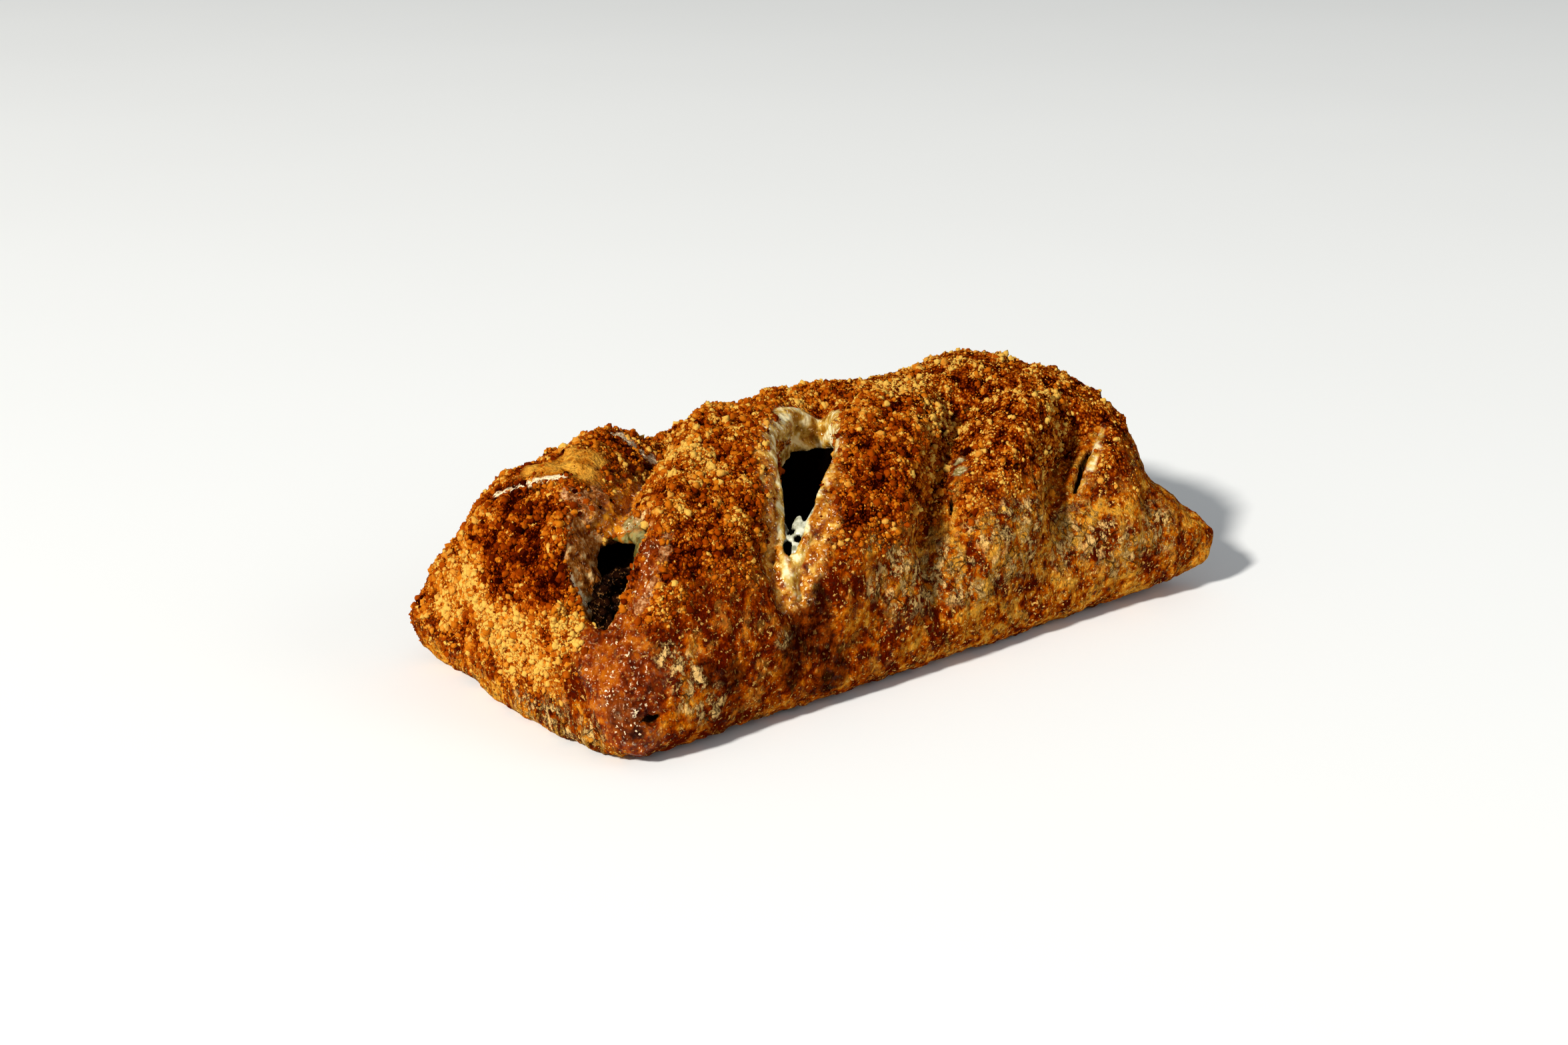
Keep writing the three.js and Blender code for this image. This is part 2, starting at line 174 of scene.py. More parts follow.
def plan(across, along):
    return (along + across) * math.sqrt(0.5), (along - across) * math.sqrt(0.5)


# The roll's form, over points of a cube of side 2.
def rounded(p):
    """The cube's points carried along their radius to a rounded box."""
    x, y, z = p.T
    low = ramp(z, *END_TURN)
    top = np.where(x < 0, LEFT_END_TOP, RIGHT_END_TOP)
    end = top * (END_BASE / top) ** low
    section = np.where(z > 0, SECTION_TOP, SECTION_BASE)
    ring = (abs(y) ** section + abs(z) ** section) ** (1 / section)
    return p * ((ring ** end + abs(x) ** end) ** (-1 / end))[:, None]


def pillow(q):
    x, y, z = q.T
    sides = 1 + SIDE_SWELL * (1 - x ** 2)
    ends = 1 + np.where(x < 0, LEFT_SWELL, RIGHT_SWELL) * (1 - y ** 2) * abs(x)
    level = WAIST + z * np.where(z > 0, HEIGHT - WAIST, WAIST + SINK)
    return np.stack([x * LENGTH * ends / 2, y * WIDTH * sides / 2, level], 1)


def outward(q):
    way = np.stack([q[:, 0] ** 3 / LENGTH, q[:, 1] / WIDTH, q[:, 2] / (2 * (HEIGHT - WAIST))], 1)
    return unit(way)


def half_gape(slash, along):
    share = np.clip((along - slash.start) / (slash.end - slash.start), 0, 1)
    skew = math.log(0.5) / math.log(slash.peak)
    return slash.gape / 2 * np.sin(np.pi * share ** skew) ** SLASH_BLUNT


def line(slash, along):
    """Place across of the middle of a slash."""
    return slash.across + slash.lean * (along - slash.pivot)


def run(slash, along):
    """1 along a slash and the valley past its end, fading out at both ends."""
    start = smooth((along - slash.start + SLASH_FADE) / SLASH_FADE)
    return start * smooth((slash.end + slash.reach + SLASH_FADE - along) / SLASH_FADE)


def valleys(x, y):
    across, along = slash_frame(x, y)
    return sum(s.sag * bell((across - s.across) / s.spread) * run(s, along) for s in SLASHES)


def creases(x, y):
    """The creases between the puffed parts: sharp below, and a little swollen beside them."""
    across, along = slash_frame(x, y)
    dip = 0
    for slash, sink in zip(SLASHES, CREASE_SINKS):
        away = abs(across - line(slash, along)) / CREASE_WIDTH
        swell = SWELL_SHARE * bell((away - SWELL_AWAY) / SWELL_SPREAD)
        dip = dip + sink * (np.exp(-away) - swell) * run(slash, along)
    return dip


def lips(x, y):
    across, along = slash_frame(x, y)
    curl = np.zeros_like(x)
    for slash in GAPING:
        edge = abs(across - slash.across) - half_gape(slash, along) - LIP_SPREAD / 2
        start = smooth((along - slash.start + LIP_SPREAD) / SLASH_FADE)
        end = smooth((slash.end + LIP_SPREAD - along) / SLASH_FADE)
        curl += LIP_RISE * bell(edge / LIP_SPREAD) * start * end
    return curl


def rises(humps, x, y):
    return sum(h.rise * bell((x - h.x) / h.along) * bell((y - h.y) / h.across) for h in humps)


def fold(x, y):
    """The step at the folded flap's edge, less the crease beside it."""
    edge = FLAP_EDGE + FLAP_WANDER * np.sin(y / FLAP_PITCH)
    width = smooth((FLAP_BACK - y) / FLAP_FADE) * smooth((y - FLAP_FRONT) / FLAP_FADE)
    crease = CREASE_DEPTH * bell((y - CREASE_ACROSS) / CREASE_SPREAD) * ramp(x, *CREASE_ALONG)
    return FLAP_RISE * smooth((edge - x) / CREASE_SPREAD + 0.5) * width - crease


def unevenness(s):
    lift = 0
    for wave in WAVES:
        first = np.sin(s @ np.array(wave.first) + wave.shift)
        lift = lift + wave.height * first * np.sin(s @ np.array(wave.second))
    return lift


def crust_form(p, creased=True):
    q = rounded(p)
    s = pillow(q)
    corner = ramp(abs(q[:, 0]), *EAR_ROOT_ALONG) * ramp(abs(q[:, 1]), *EAR_ROOT_ACROSS)
    for ear in EARS:
        mine = (ear.x * q[:, 0] > 0) & (ear.y * q[:, 1] > 0)
        pinch = mine * corner * (1 - ramp(s[:, 2], *ear.top))
        s = s + np.outer(pinch, (ear.x * ear.reach * EAR_ALONG, ear.y * ear.reach * EAR_ACROSS, ear.lift))
    x, y, z = s.T
    sculpted = lips(x, y) - valleys(x, y) + fold(x, y)
    relief = sculpted * ramp(z, *RELIEF_FOOT) + unevenness(s) * ramp(z, *WAVE_FOOT)
    if creased:
        relief = relief - creases(x, y) * ramp(z, *CREASE_FOOT)
    hump = rises(HUMPS, x, y) * np.clip(q[:, 2], 0, 1)
    return s + outward(q) * relief[:, None] + np.outer(hump, UP)


def hollow_form(p, margin=0):
    q = rounded(p)
    s = pillow(q)
    sag = valleys(s[:, 0], s[:, 1]) * ramp(s[:, 2], *RELIEF_FOOT)
    return s - outward(q) * (WALL + margin + sag)[:, None]


def filling_form(p):
    s = hollow_form(p, CLEARANCE)
    s[:, 2] += rises(PITS, s[:, 0], s[:, 1]) * ramp(s[:, 2], WAIST, 2 * WAIST)
    return s


# Making meshes.
def cube_grid(cuts):
    """A cube of side 2 with that many cuts along x, y and z."""
    bm = bmesh.new()
    bmesh.ops.create_cube(bm, size=2)
    for axis, count in enumerate(cuts):
        along = [e for e in bm.edges if abs(e.verts[0].co[axis] - e.verts[1].co[axis]) > MM]
        bmesh.ops.subdivide_edges(bm, edges=along, cuts=count, use_grid_fill=True)
    return bm


def places_of(bm):
    return np.array([v.co for v in bm.verts])


def reshape(bm, points):
    for v, point in zip(bm.verts, points):
        v.co = point
    return bm


def linked(name, mesh):
    thing = bpy.data.objects.new(name, mesh)
    bpy.context.scene.collection.objects.link(thing)
    return thing


def mesh_of(bm):
    mesh = bpy.data.meshes.new("shape")
    bm.to_mesh(mesh)
    bm.free()
    return mesh


def bmesh_of(mesh):
    bm = bmesh.new()
    bm.from_mesh(mesh)
    return bm


def worked(bm, kind, tool=None, **settings):
    """The shape after one modifier, whose tool is another shape."""
    shape = linked("shape", mesh_of(bm))
    modifier = shape.modifiers.new(kind, kind)
    if tool is not None:
        modifier.object = linked("tool", mesh_of(tool))
        modifier.solver = "MANIFOLD"
    for name, value in settings.items():
        setattr(modifier, name, value)
    mesh = bpy.data.meshes.new_from_object(shape.evaluated_get(bpy.context.evaluated_depsgraph_get()))
    if tool is not None:
        bpy.data.objects.remove(modifier.object)
    bpy.data.objects.remove(shape)
    return bmesh_of(mesh)


def cut_away(bm, tool):
    return worked(bm, "BOOLEAN", tool, operation="DIFFERENCE")


def remeshed(bm, pitch):
    return worked(bm, "REMESH", mode="VOXEL", voxel_size=pitch)


def joined(*shapes):
    bm = bmesh.new()
    for shape in shapes:
        bm.from_mesh(mesh_of(shape))
    return bm


def tube(path, radii, rings=TUBE_RINGS, sides=TUBE_SIDES):
    """A round tube along points, closed where it meets itself or where its radius is nothing."""
    bm = bmesh.new()
    bmesh.ops.create_grid(bm, x_segments=rings, y_segments=sides, size=1)
    u, v = (places_of(bm)[:, :2].T + 1) / 2
    stops = np.linspace(0, 1, len(path))
    route = np.array(path, float)

    def along(t):
        return np.stack([np.interp(t, stops, route[:, axis]) for axis in range(3)], 1)

    step = 1 / rings
    way = along(np.minimum(u + step, 1)) - along(np.maximum(u - step, 0))
    side = unit(np.cross(way, UP))
    lift = unit(np.cross(side, way))
    radius = np.interp(u, stops, radii)[:, None]
    turn = 2 * np.pi * v[:, None]
    reshape(bm, along(u) + radius * (side * np.cos(turn) + lift * np.sin(turn)))
    bmesh.ops.remove_doubles(bm, verts=bm.verts, dist=MM)
    bmesh.ops.recalc_face_normals(bm, faces=bm.faces)
    return bm


def ball(place, radii, turn=0):
    bm = bmesh.new()
    stretch = Matrix.Translation(place) @ Matrix.Rotation(turn, 4, "Z") @ Matrix.Diagonal((*radii, 1))
    bmesh.ops.create_icosphere(bm, subdivisions=BALL_FINENESS, radius=1, matrix=stretch)
    return bm


def soften(bm):
    bmesh.ops.smooth_vert(bm, verts=bm.verts, factor=0.5, use_axis_x=True, use_axis_y=True, use_axis_z=True)


# Uneven surfaces. Each seed reads the noise at a place of its own.
RIPPLE_STEP, KNOB_STEP = Vector((17.3, 5.1, 9.7)), Vector((3.7, 11.9, 7.3))
RIPPLE_FALL, RIPPLE_FINER, KNOB_REACH = 1, 2, 0.8


def ripple(points, size, octaves, seed=0):
    """Cloudy unevenness with lumps of about that size, from about -1 to 1."""
    shift = RIPPLE_STEP * seed
    return np.array([noise.fractal(Vector(p) + shift, RIPPLE_FALL, RIPPLE_FINER, octaves)
                     for p in points / size])


def knobs(points, size, seed):
    """Round knobs of about that size: 1 on their tops and 0 between them."""
    shift = KNOB_STEP * seed
    near = np.array([noise.voronoi(Vector(p) + shift)[0][0] for p in points / size])
    return np.sqrt(np.clip(1 - (near / KNOB_REACH) ** 2, 0, 1))


def lifted(bm, heights):
    """The shape with each point lifted that far out of its surface."""
    bm.normal_update()
    ways = np.array([v.normal for v in bm.verts])
    return reshape(bm, places_of(bm) + ways * heights[:, None])


def uneven(bm, depth, pitch, seed):
    """The shape with a soft unevenness."""
    return lifted(bm, depth * ripple(places_of(bm), pitch, 3, seed))


# From the form's own millimetres to the frame's.
def middle_shift():
    """How far the frame is from the form: the filling's box is the same in both."""
    bm = cube_grid(SOLID_FILLING_CUTS)
    points = filling_form(places_of(bm))
    bm.free()
    low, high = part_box("filling")
    middle = (points.min(0) + points.max(0)) / 2
    return Vector(((low.x + high.x) / 2 / MM - middle[0], (low.y + high.y) / 2 / MM - middle[1], 0))


SHIFT = middle_shift()
TO_FRAME = Matrix.Scale(MM, 4) @ Matrix.Translation(SHIFT)


# The uncut skin, which everything on the crust is placed from.
def skin_shape(creased=True):
    bm = cube_grid(SKIN_CUTS)
    return reshape(bm, crust_form(places_of(bm), creased))


def skin_tree(creased=True):
    bm = skin_shape(creased)
    tree = BVHTree.FromBMesh(bm)
    bm.free()
    return tree


SKIN = skin_tree()


def skin_height(x, y):
    hit = SKIN.ray_cast(Vector((x, y, 2 * HEIGHT)), -UP)[0]
    return hit.z if hit else 0


def rim(slash, steps=RIM_STEPS, margin=0):
    """Points round the rim of a slash's opening, on the skin, with each one's share of the cut and side."""
    turn = np.linspace(0, 2 * np.pi, steps, endpoint=False)
    share = (1 - np.cos(turn)) / 2
    side = np.sign(np.sin(turn))
    along = slash.start + share * (slash.end - slash.start)
    ragged = ripple(np.stack([along, side * SIDES_APART, 0 * along + slash.across], 1), RAGGED_PITCH, 3)
    wander = ripple(np.stack([along, 0 * along, 0 * along + slash.across], 1), WANDER_PITCH, 2)
    half = half_gape(slash, along) * (MIDDLE_WIDER if slash == MIDDLE_SLASH else 1)
    if slash == LEFT_SLASH:
        rounding = np.clip(share / LEFT_FRONT, 0, 1) * np.clip((1 - share) / LEFT_BACK, 0, 1)
        half = np.where(side < 0, LEFT_REACH * np.sqrt(rounding), half)
    half = np.maximum(SLASH_TIP, half * (1 + RAGGED * ragged) - margin)
    x, y = plan(line(slash, along) + WANDER * wander + side * half, along)
    z = np.array([skin_height(*spot) for spot in zip(x, y)])
    return np.stack([x, y, z], 1), share, side


def slash_cutter(slash, margin=0):
    """A plug over a slash's opening, narrower at its foot, which is at the depth of the cut."""
    outline, share, _ = rim(slash, margin=margin)
    bm = bmesh.new()
    bmesh.ops.create_cone(bm, cap_ends=True, segments=len(outline), radius1=1, radius2=1, depth=2)
    upright = [e for e in bm.edges if abs(e.verts[0].co.z - e.verts[1].co.z) > 1]
    bmesh.ops.subdivide_edges(bm, edges=upright, cuts=1)
    under = UNDERCUTS.get(slash, CRACK_FOOT)
    across, along = slash_frame(outline[:, 0], outline[:, 1])
    middle = line(slash, along)
    across = middle + (across - middle) * under.narrow + under.right * (1 - UNDERCUT_FADE * share)
    foot = np.stack([*plan(across, along + under.back), outline[:, 2] - slash.cut], 1)
    levels = {-1: foot, 0: outline, 1: outline + np.array(UP) * HEIGHT}
    for v in bm.verts:
        turn = round(math.atan2(v.co.y, v.co.x) / (2 * math.pi) * len(outline)) % len(outline)
        v.co = levels[round(v.co.z)][turn]
    if bm.calc_volume(signed=True) < 0:
        bmesh.ops.reverse_faces(bm, faces=bm.faces)
    return bm


def looped(points):
    return np.concatenate([points, points[:1]])


def rolled_lips():
    """Rolls of dough round the gaping slashes: thick at the back of the middle one, thin beside the left."""
    rolls = []
    for slash, front, end, sink in ROLLS:
        path, share, side = rim(slash)
        back = ramp(share, *ROLL_BACK)
        swell = EVEN_SWELL
        if slash == LEFT_SLASH:
            swell = ramp(ripple(path, SWELL_PITCH, 2, seed=12), *SWELL_RANGE)
        radius = front + (end - front) * back + LEFT_SIDE_SWELL * (side < 0) * (1 - back) * swell
        centre = np.append(np.array(plan(slash.across, (slash.start + slash.end) / 2)), 0)
        out = unit((path - centre) * (1, 1, 0))
        sunk = path + out * radius[:, None] - np.outer(radius * sink, UP)
        rolls.append(tube(looped(sunk), looped(radius), rings=ROLL_RINGS))
    return rolls


def inner_fold():
    """The second fold of dough under the back of the middle slash."""
    path, share, _ = rim(MIDDLE_SLASH, steps=FOLD_STEPS)
    back = np.where(share > FOLD_START)[0]
    radius = FOLD_THICKNESS * np.sin(np.pi * np.linspace(0, 1, len(back))) ** 0.5
    across, _ = slash_frame(path[back, 0], path[back, 1])
    drop = FOLD_DROP + FOLD_SLANT * (MIDDLE_SLASH.across - across)
    return tube(path[back] - np.outer(drop, UP), radius)


# The crust.
def cut_dough():
    """The skin cut level below, slashed, torn at the nose and given its rolled lips."""
    bm = skin_shape()
    everything = bm.verts[:] + bm.edges[:] + bm.faces[:]
    bmesh.ops.bisect_plane(bm, geom=everything, plane_co=(0, 0, 0), plane_no=UP, clear_inner=True)
    bmesh.ops.holes_fill(bm, edges=[e for e in bm.edges if e.is_boundary], sides=0)
    for slash in GAPING + CRACKS:
        bm = cut_away(bm, slash_cutter(slash))
    bm = cut_away(bm, uneven(ball(TEAR_PLACE, TEAR_RADII, TEAR_TURN), TEAR_RAGGED, TEAR_PITCH, seed=14))
    bm = cut_away(bm, ball(THIN_PLACE, THIN_RADII))
    bm = remeshed(joined(bm, *rolled_lips(), inner_fold()), CRUST_PITCH)
    return cut_away(bm, ball(HOLE_PLACE, HOLE_RADII, HOLE_TURN))


# Patches of the crust: x, y, z and radius.
NOSE = [(-89.6, -28, 27, 5), (-87, -33, 28, 6), (-92, -33, 23, 7), (-90, -38, 22, 8), (-87, -41, 21, 7),
        (-93, -38.5, 17, 8), (-91, -43, 16, 7), (-93.5, -42.5, 11.5, 7), (-90.5, -45, 8.5, 6),
        (-70.5, -26, 49.5, 2.4), (-74.5, -29.5, 46.5, 3), (-77, -31.5, 42.5, 3), (-79.3, -32.3, 38.5, 3),
        (-81.5, -32, 34.5, 3), (-84.5, -30, 30.5, 3)]
DRIPS = [(-40.5, -42, 33, 4), (-40, -44, 29.5, 5), (-39, -45, 24.5, 5), (-44, -45, 24, 5),
         (-47, -46, 20, 6), (-37.5, -46.5, 18, 5), (-36, -47, 10.5, 7), (-48, -46.5, 14, 6),
         (-66, -44, 18, 5), (-72.5, -46, 20, 4), (-93, -42, 14, 4), (-93.5, -40, 16, 3),
         (-92.5, -44, 11, 3.5)]
FLAKY = [(-80, -41.5, 25, 4), (-77.5, -44.5, 21, 5), (-76.5, -46.5, 16.5, 5), (-73, -47, 12.5, 5),
         (-50.5, -47.5, 23.5, 3), (-21, -45, 39, 5), (-15, -45.5, 32.5, 6), (-10, -45, 31.5, 6),
         (-4, -42, 25.5, 7), (-14, -46.5, 24, 6), (-22, -46.5, 29.5, 5), (5, -43, 27, 7),
         (7.5, -46.5, 24, 7), (16, -46, 34.5, 6), (22, -46.5, 35, 6), (30, -46.5, 35, 6), (26, -48, 27, 7),
         (14, -48, 23, 7), (48.5, -42, 24, 7), (57, -44, 26, 8), (64, -49, 18.5, 8), (75, -48.5, 21.5, 7),
         (-95, -32, 5, 5), (-97, -20, 5, 6), (-98, -8, 5, 6)]
SANDY = [(-95, 29.5, 23, 9), (-99, 6, 23.5, 9), (-97.5, -10, 25, 9), (-95.5, -22, 29.5, 7),
         (-98, -1, 17, 9), (-97, -15, 17, 9), (-97.5, 17.5, 32, 7), (-47, -5, 59, 6), (-66, -28, 54, 3),
         (-50.5, -15, 58, 4.5)]
SCORCHED = [(-93.5, 0, 45, 10), (-96.5, -1, 38, 8), (-97, -16, 37.5, 8), (-97.5, 4, 8, 6),
            (-96.5, 6, 42, 7), (-68, -36, 45.5, 8), (-14.5, -36, 51.5, 7), (-20.5, -39, 49, 6),
            (-9, -32.5, 54.5, 6), (-9.5, -38.5, 48.5, 6), (5, -37, 41.5, 5), (-57.5, 17.5, 55.5, 8)]
GILDED = [(-74, -10.5, 48, 5), (-71, -8.5, 48, 5), (-67, -6, 47.5, 5), (-65, -3.5, 48.5, 5),
          (-62, -4, 47.5, 4), (-60, 0, 49, 4), (-56, 3, 48, 3.5)]
GOLDEN = [(-33, -18, 57, 3), (-37, -25, 52.5, 4), (-40, -31, 48, 4), (-41, -34, 40, 5), (-46, -36.5, 36, 5),
          (-43, -41, 33, 5), (-13, -21, 57, 3), (-22, -28.5, 53, 3.5), (-30.5, -36, 46, 5),
          (-36, -39, 41, 5), (-39, -40, 37, 5)]
FOLDED = [(-80.5, -4.5, 54, 3), (-79, -7.5, 52, 3), (-76, -5, 52.5, 3), (-72.5, -4, 52.5, 3),
          (-80, -10.5, 51, 3), (-72, -31.6, 49.7, 1.3), (-74, -33, 47, 1.4), (-75.2, -33.8, 45, 1.4),
          (-76.5, -34.3, 43.3, 1.4), (-77.9, -34.7, 41.3, 1.4), (-79, -34.4, 39, 1.4),
          (-80.4, -33.8, 36.6, 1.4), (-81.7, -33, 34.3, 1.4)]
CHEESY = [(-73, -18.5, 48, 3), (-71, -14, 48, 2.6), (-67, -9.5, 49, 2), (20.5, -31, 45, 2),
          (23.5, -27.5, 46, 1.6)]
BALD = [(-80.5, 12.5, 56, 4), (-77, 7.5, 57.5, 6), (-73.5, 2.5, 56.5, 5), (-67, 6.5, 57.5, 4),
        (-73, 9.5, 58, 6)]
TOPPING_EDGE = [(-78, 35), (-68, 38), (-51, 41), (-43, 45), (-28, 41), (-3, 42), (9, 36), (23, 43), (33, 43),
                (52, 36), (71, 37), (92, 44)]  # place along, height
TOPPING_END, TOPPING_ALONG, NOSE_SIDE, NOSE_RISE = 10, (-72, -86), -13, 0.9
TORN = [((-89.6, 15, 51), (-81.5, 4.5, 56), 1), ((-81.5, 4.5, 56), (-79, 1.5, 57), 1),
        ((-46.6, 24.5, 54.3), (-43.4, 17, 50), 2.6),
        ((-92.4, -19.3, 41.8), (-87.9, -22.6, 32.6), 0.9)]  # from, to, half width

# Marks that are only patches: their strength, and how much the coarse and the fine cloud break them up.
Stain = namedtuple("Stain", "patches strength coarse fine", defaults=(1, 0, 0))
STAINS = {"nose": Stain(NOSE), "bald": Stain(BALD, 1.4), "browned": Stain(GILDED, 1.3),
          "cheesy": Stain(CHEESY, 1.3), "drips": Stain(DRIPS, 1.2, 0.3), "flaky": Stain(FLAKY, 1, 0.4),
          "sandy": Stain(SANDY, 1.2, 0.3), "scorched": Stain(SCORCHED, 1, 0, 0.3)}
COARSE_PITCH, FINE_PITCH = 14, 4

# What the other marks rise between, in millimetres: depths, heights, distances from a cut, places.
INSIDE_DEPTH, INSIDE_FOOT, INSIDE_HOLE, DEEP_DEPTH = (1.6, 3.4), (8, 14), (0.2, 1), (3.5, 9)
CRACK_DEPTH, CRACK_SIDE, TEAR_SHARES = (0.8, 2), (20, 24), (0.2, 0.4)
LEFT_SIDE = (-22, -30)
LIP_PALE, LEFT_LIP_PALE, CRACK_PALE, CRACK_CLEAR = (1.2, 3.8), (0.3, 1.6), (0.6, 3.2), (0.6, 1.8)
LIP_RIGHT, LIP_BACK, LIP_BACK_SPREAD, FOURTH_RIGHT = (-2, 3), (-14, 2), 9, (0, 1.5)
GOLDEN_WIDTH, GOLDEN_SPREAD, GOLDEN_RIGHT, GOLDEN_BACK = (3, 7), 16, (-4, 2), (-52, -20)
GOLDEN_SHARES, FOLDED_SHARES, NOSE_SHARES = (0.2, 0.6), (0.3, 0.6), (0.3, 0.7)
TOPPING_OVER, CRUMBS_OVER, HEAPED = (-3, 5), (-8, 8), (0, 0.4)
THIN_ALONG, HEAP_PITCH, BAND_PITCHES = (8, 34), 6, (5, 16, 16)
VEIL_GROWS, VEIL_ENDS, FOOT_VEIL_HEIGHT, FOOT_VEIL_ALONG = (-45, 25), (50, 85), 8, (-84, -94)


def patched(points, patches):
    """1 in the middle of the patches, fading out past their radius."""
    marked = np.zeros(len(points))
    for *place, radius in patches:
        middle = SKIN.find_nearest(Vector(place))[0]
        marked = np.maximum(marked, bell(away_from(middle, points) / radius))
    return marked


def torn_at(points):
    """1 along the torn places."""
    spots = [(*Vector(start).lerp(Vector(end), share), half)
             for start, end, half in TORN for share in np.linspace(0, 1, TORN_STEPS)]
    return patched(points, spots)


def opened(slash, points):
    """How far inside a slash's opening points are, seen from above: less than 0 outside it."""
    outline, _, side = rim(slash, steps=FINE_RIM_STEPS)
    across, along = slash_frame(outline[:, 0], outline[:, 1])
    place, at = slash_frame(points[:, 0], points[:, 1])
    right = np.interp(at, along[side > 0], across[side > 0])
    left = np.interp(at, along[side < 0][::-1], across[side < 0][::-1])
    return np.minimum(place - left, right - place)


def rim_distance(points, slashes):
    """How far points are from the rims of slashes."""
    rims = np.concatenate([rim(slash, steps=FINE_RIM_STEPS)[0] for slash in slashes])
    tree = KDTree(len(rims))
    for i, spot in enumerate(rims):
        tree.insert(spot, i)
    tree.balance()
    return np.array([tree.find(p)[2] for p in points])


def topping_edge(x, y):
    heights = np.interp(x, *np.array(TOPPING_EDGE, float).T)
    end = TOPPING_END + np.maximum(0, NOSE_SIDE - y) * NOSE_RISE
    return heights + (end - heights) * ramp(x, *TOPPING_ALONG)


Ground = namedtuple("Ground", "points x y z across along depth from_rim from_crack coarse fine")


def crust_ground(points):
    """What the marks are drawn from: places, depth below the skin, distance from the cuts, and two clouds."""
    x, y, z = points.T
    depth = np.array([SKIN.find_nearest(p)[3] for p in points])
    coarse, fine = ripple(points, COARSE_PITCH, 4, seed=1), ripple(points, FINE_PITCH, 2, seed=2)
    return Ground(points, x, y, z, *slash_frame(x, y), depth, rim_distance(points, GAPING),
                  rim_distance(points, CRACKS), coarse, fine)


def cut_marks(here):
    """Pale lips beside the cuts, how far down in them a point is, their left side, and the cracks."""
    hole = np.maximum(opened(LEFT_SLASH, here.points), opened(MIDDLE_SLASH, here.points))
    above_foot = ramp(here.z, *INSIDE_FOOT)
    inside = np.maximum(ramp(here.depth, *INSIDE_DEPTH) * above_foot, ramp(hole, *INSIDE_HOLE))
    tear = bell(away_from(TEAR_PLACE, here.points) / TEAR_RADII[0])
    cracked = np.maximum(ramp(here.across, *CRACK_SIDE) * above_foot, ramp(tear, *TEAR_SHARES))
    crack = ramp(here.depth, *CRACK_DEPTH) * cracked
    left = ramp(here.across, *LEFT_SIDE)
    rolled = ramp(here.along, *LIP_BACK) * bell((here.across - MIDDLE_SLASH.across) / LIP_BACK_SPREAD)
    creamy = here.from_rim + 1.5 * ramp(here.across, *LIP_RIGHT) - 2.5 * rolled + 1.5 * here.fine
    left_edge = 0.8 * left * (1 - ramp(here.from_rim + here.fine, *LEFT_LIP_PALE))
    edge = (1 - ramp(creamy, *LIP_PALE)) * (1 - left) + left_edge
    fourth = ramp(here.across - line(FOURTH_SLASH, here.along), *FOURTH_RIGHT)
    edge = np.maximum(edge, 0.7 * (1 - ramp(here.from_crack + 2.5 * here.fine, *CRACK_PALE)) * fourth)
    # Painted shade: far down in the open cuts and in the cracks and tear, the dough is coloured near-black.
    cut_shade = np.maximum(ramp(here.depth, *DEEP_DEPTH) * inside, 0.7 * crack)
    return {"lip": np.maximum(edge, inside) * (1 - crack), "cut_shade": cut_shade, "left": left}, crack


def golden_at(here):
    """1 on the golden crust beside the middle slash."""
    middle = bell((here.across - MIDDLE_SLASH.across) / GOLDEN_SPREAD)
    narrower = 1.5 * ramp(here.across, *GOLDEN_RIGHT)
    beside = here.from_rim + narrower + 2 * ramp(here.along, *GOLDEN_BACK) + 2 * here.fine
    spots = ramp(patched(here.points, GOLDEN) + 0.3 * here.fine, *GOLDEN_SHARES)
    return np.maximum((1 - ramp(beside, *GOLDEN_WIDTH)) * middle, spots)


def heaped_at(here, thin):
    """Where the crumbs are heaped: in lumps, and to the right in bands along the slashes."""
    lumps = ripple(here.points, HEAP_PITCH, 3, seed=3)
    bands = ripple(np.stack([here.across, here.along, here.z], 1) / BAND_PITCHES, 1, 3, seed=9)
    return ramp(lumps + thin * (bands - lumps) + 0.4 - 0.4 * thin, *HEAPED)


def crust_marks(points):
    """What each point of the crust is: a share from 0 to 1 for each kind of surface."""
    here = crust_ground(points)
    marks, crack = cut_marks(here)
    for name, stain in STAINS.items():
        spots = stain.strength * patched(points, stain.patches)
        marks[name] = np.clip(spots + stain.coarse * here.coarse + stain.fine * here.fine, 0, 1)
    golden, thin = golden_at(here), ramp(here.x, *THIN_ALONG)
    folded = ramp(patched(points, FOLDED) + 0.3 * here.fine, *FOLDED_SHARES)
    torn = np.clip(torn_at(points) * (1 + 0.9 * here.fine), 0, 1)
    shed = [marks["lip"], marks["bald"], ramp(marks["nose"], *NOSE_SHARES), 0.95 * golden, torn,
            0.95 * marks["browned"], marks["cheesy"], crack, 0.8 * folded,
            1 - ramp(here.from_crack, *CRACK_CLEAR)]
    clear = np.prod([1 - share for share in shed], axis=0)
    over = here.z - topping_edge(here.x, here.y) + 4 * here.coarse + 3 * here.fine
    topping = ramp(over, *TOPPING_OVER) * clear
    crumbed = ramp(over, *CRUMBS_OVER) * clear * (0.2 + 0.8 * heaped_at(here, thin)) * (1 - 0.5 * thin)
    side_veil = 0.3 + 0.45 * ramp(here.x, *VEIL_GROWS) - 0.2 * ramp(here.x, *VEIL_ENDS)
    foot_veil = bell(here.z / FOOT_VEIL_HEIGHT) * ramp(here.x, *FOOT_VEIL_ALONG)
    veiled = np.maximum(side_veil, foot_veil) * (1 - topping) * (1 - 0.8 * marks["nose"])
    marks["drips"] *= 1 - topping
    marks["flaky"] *= 1 - topping
    marks.update(topping=topping, crumbed=crumbed, thin=thin, golden=golden, torn=torn, folded=folded,
                 veiled=veiled, clod=clods(points))
    return marks


CLODS = [(0.3, 6, 1), (0.4, 3.1, 2), (0.35, 1.9, 3)]  # share, size and seed


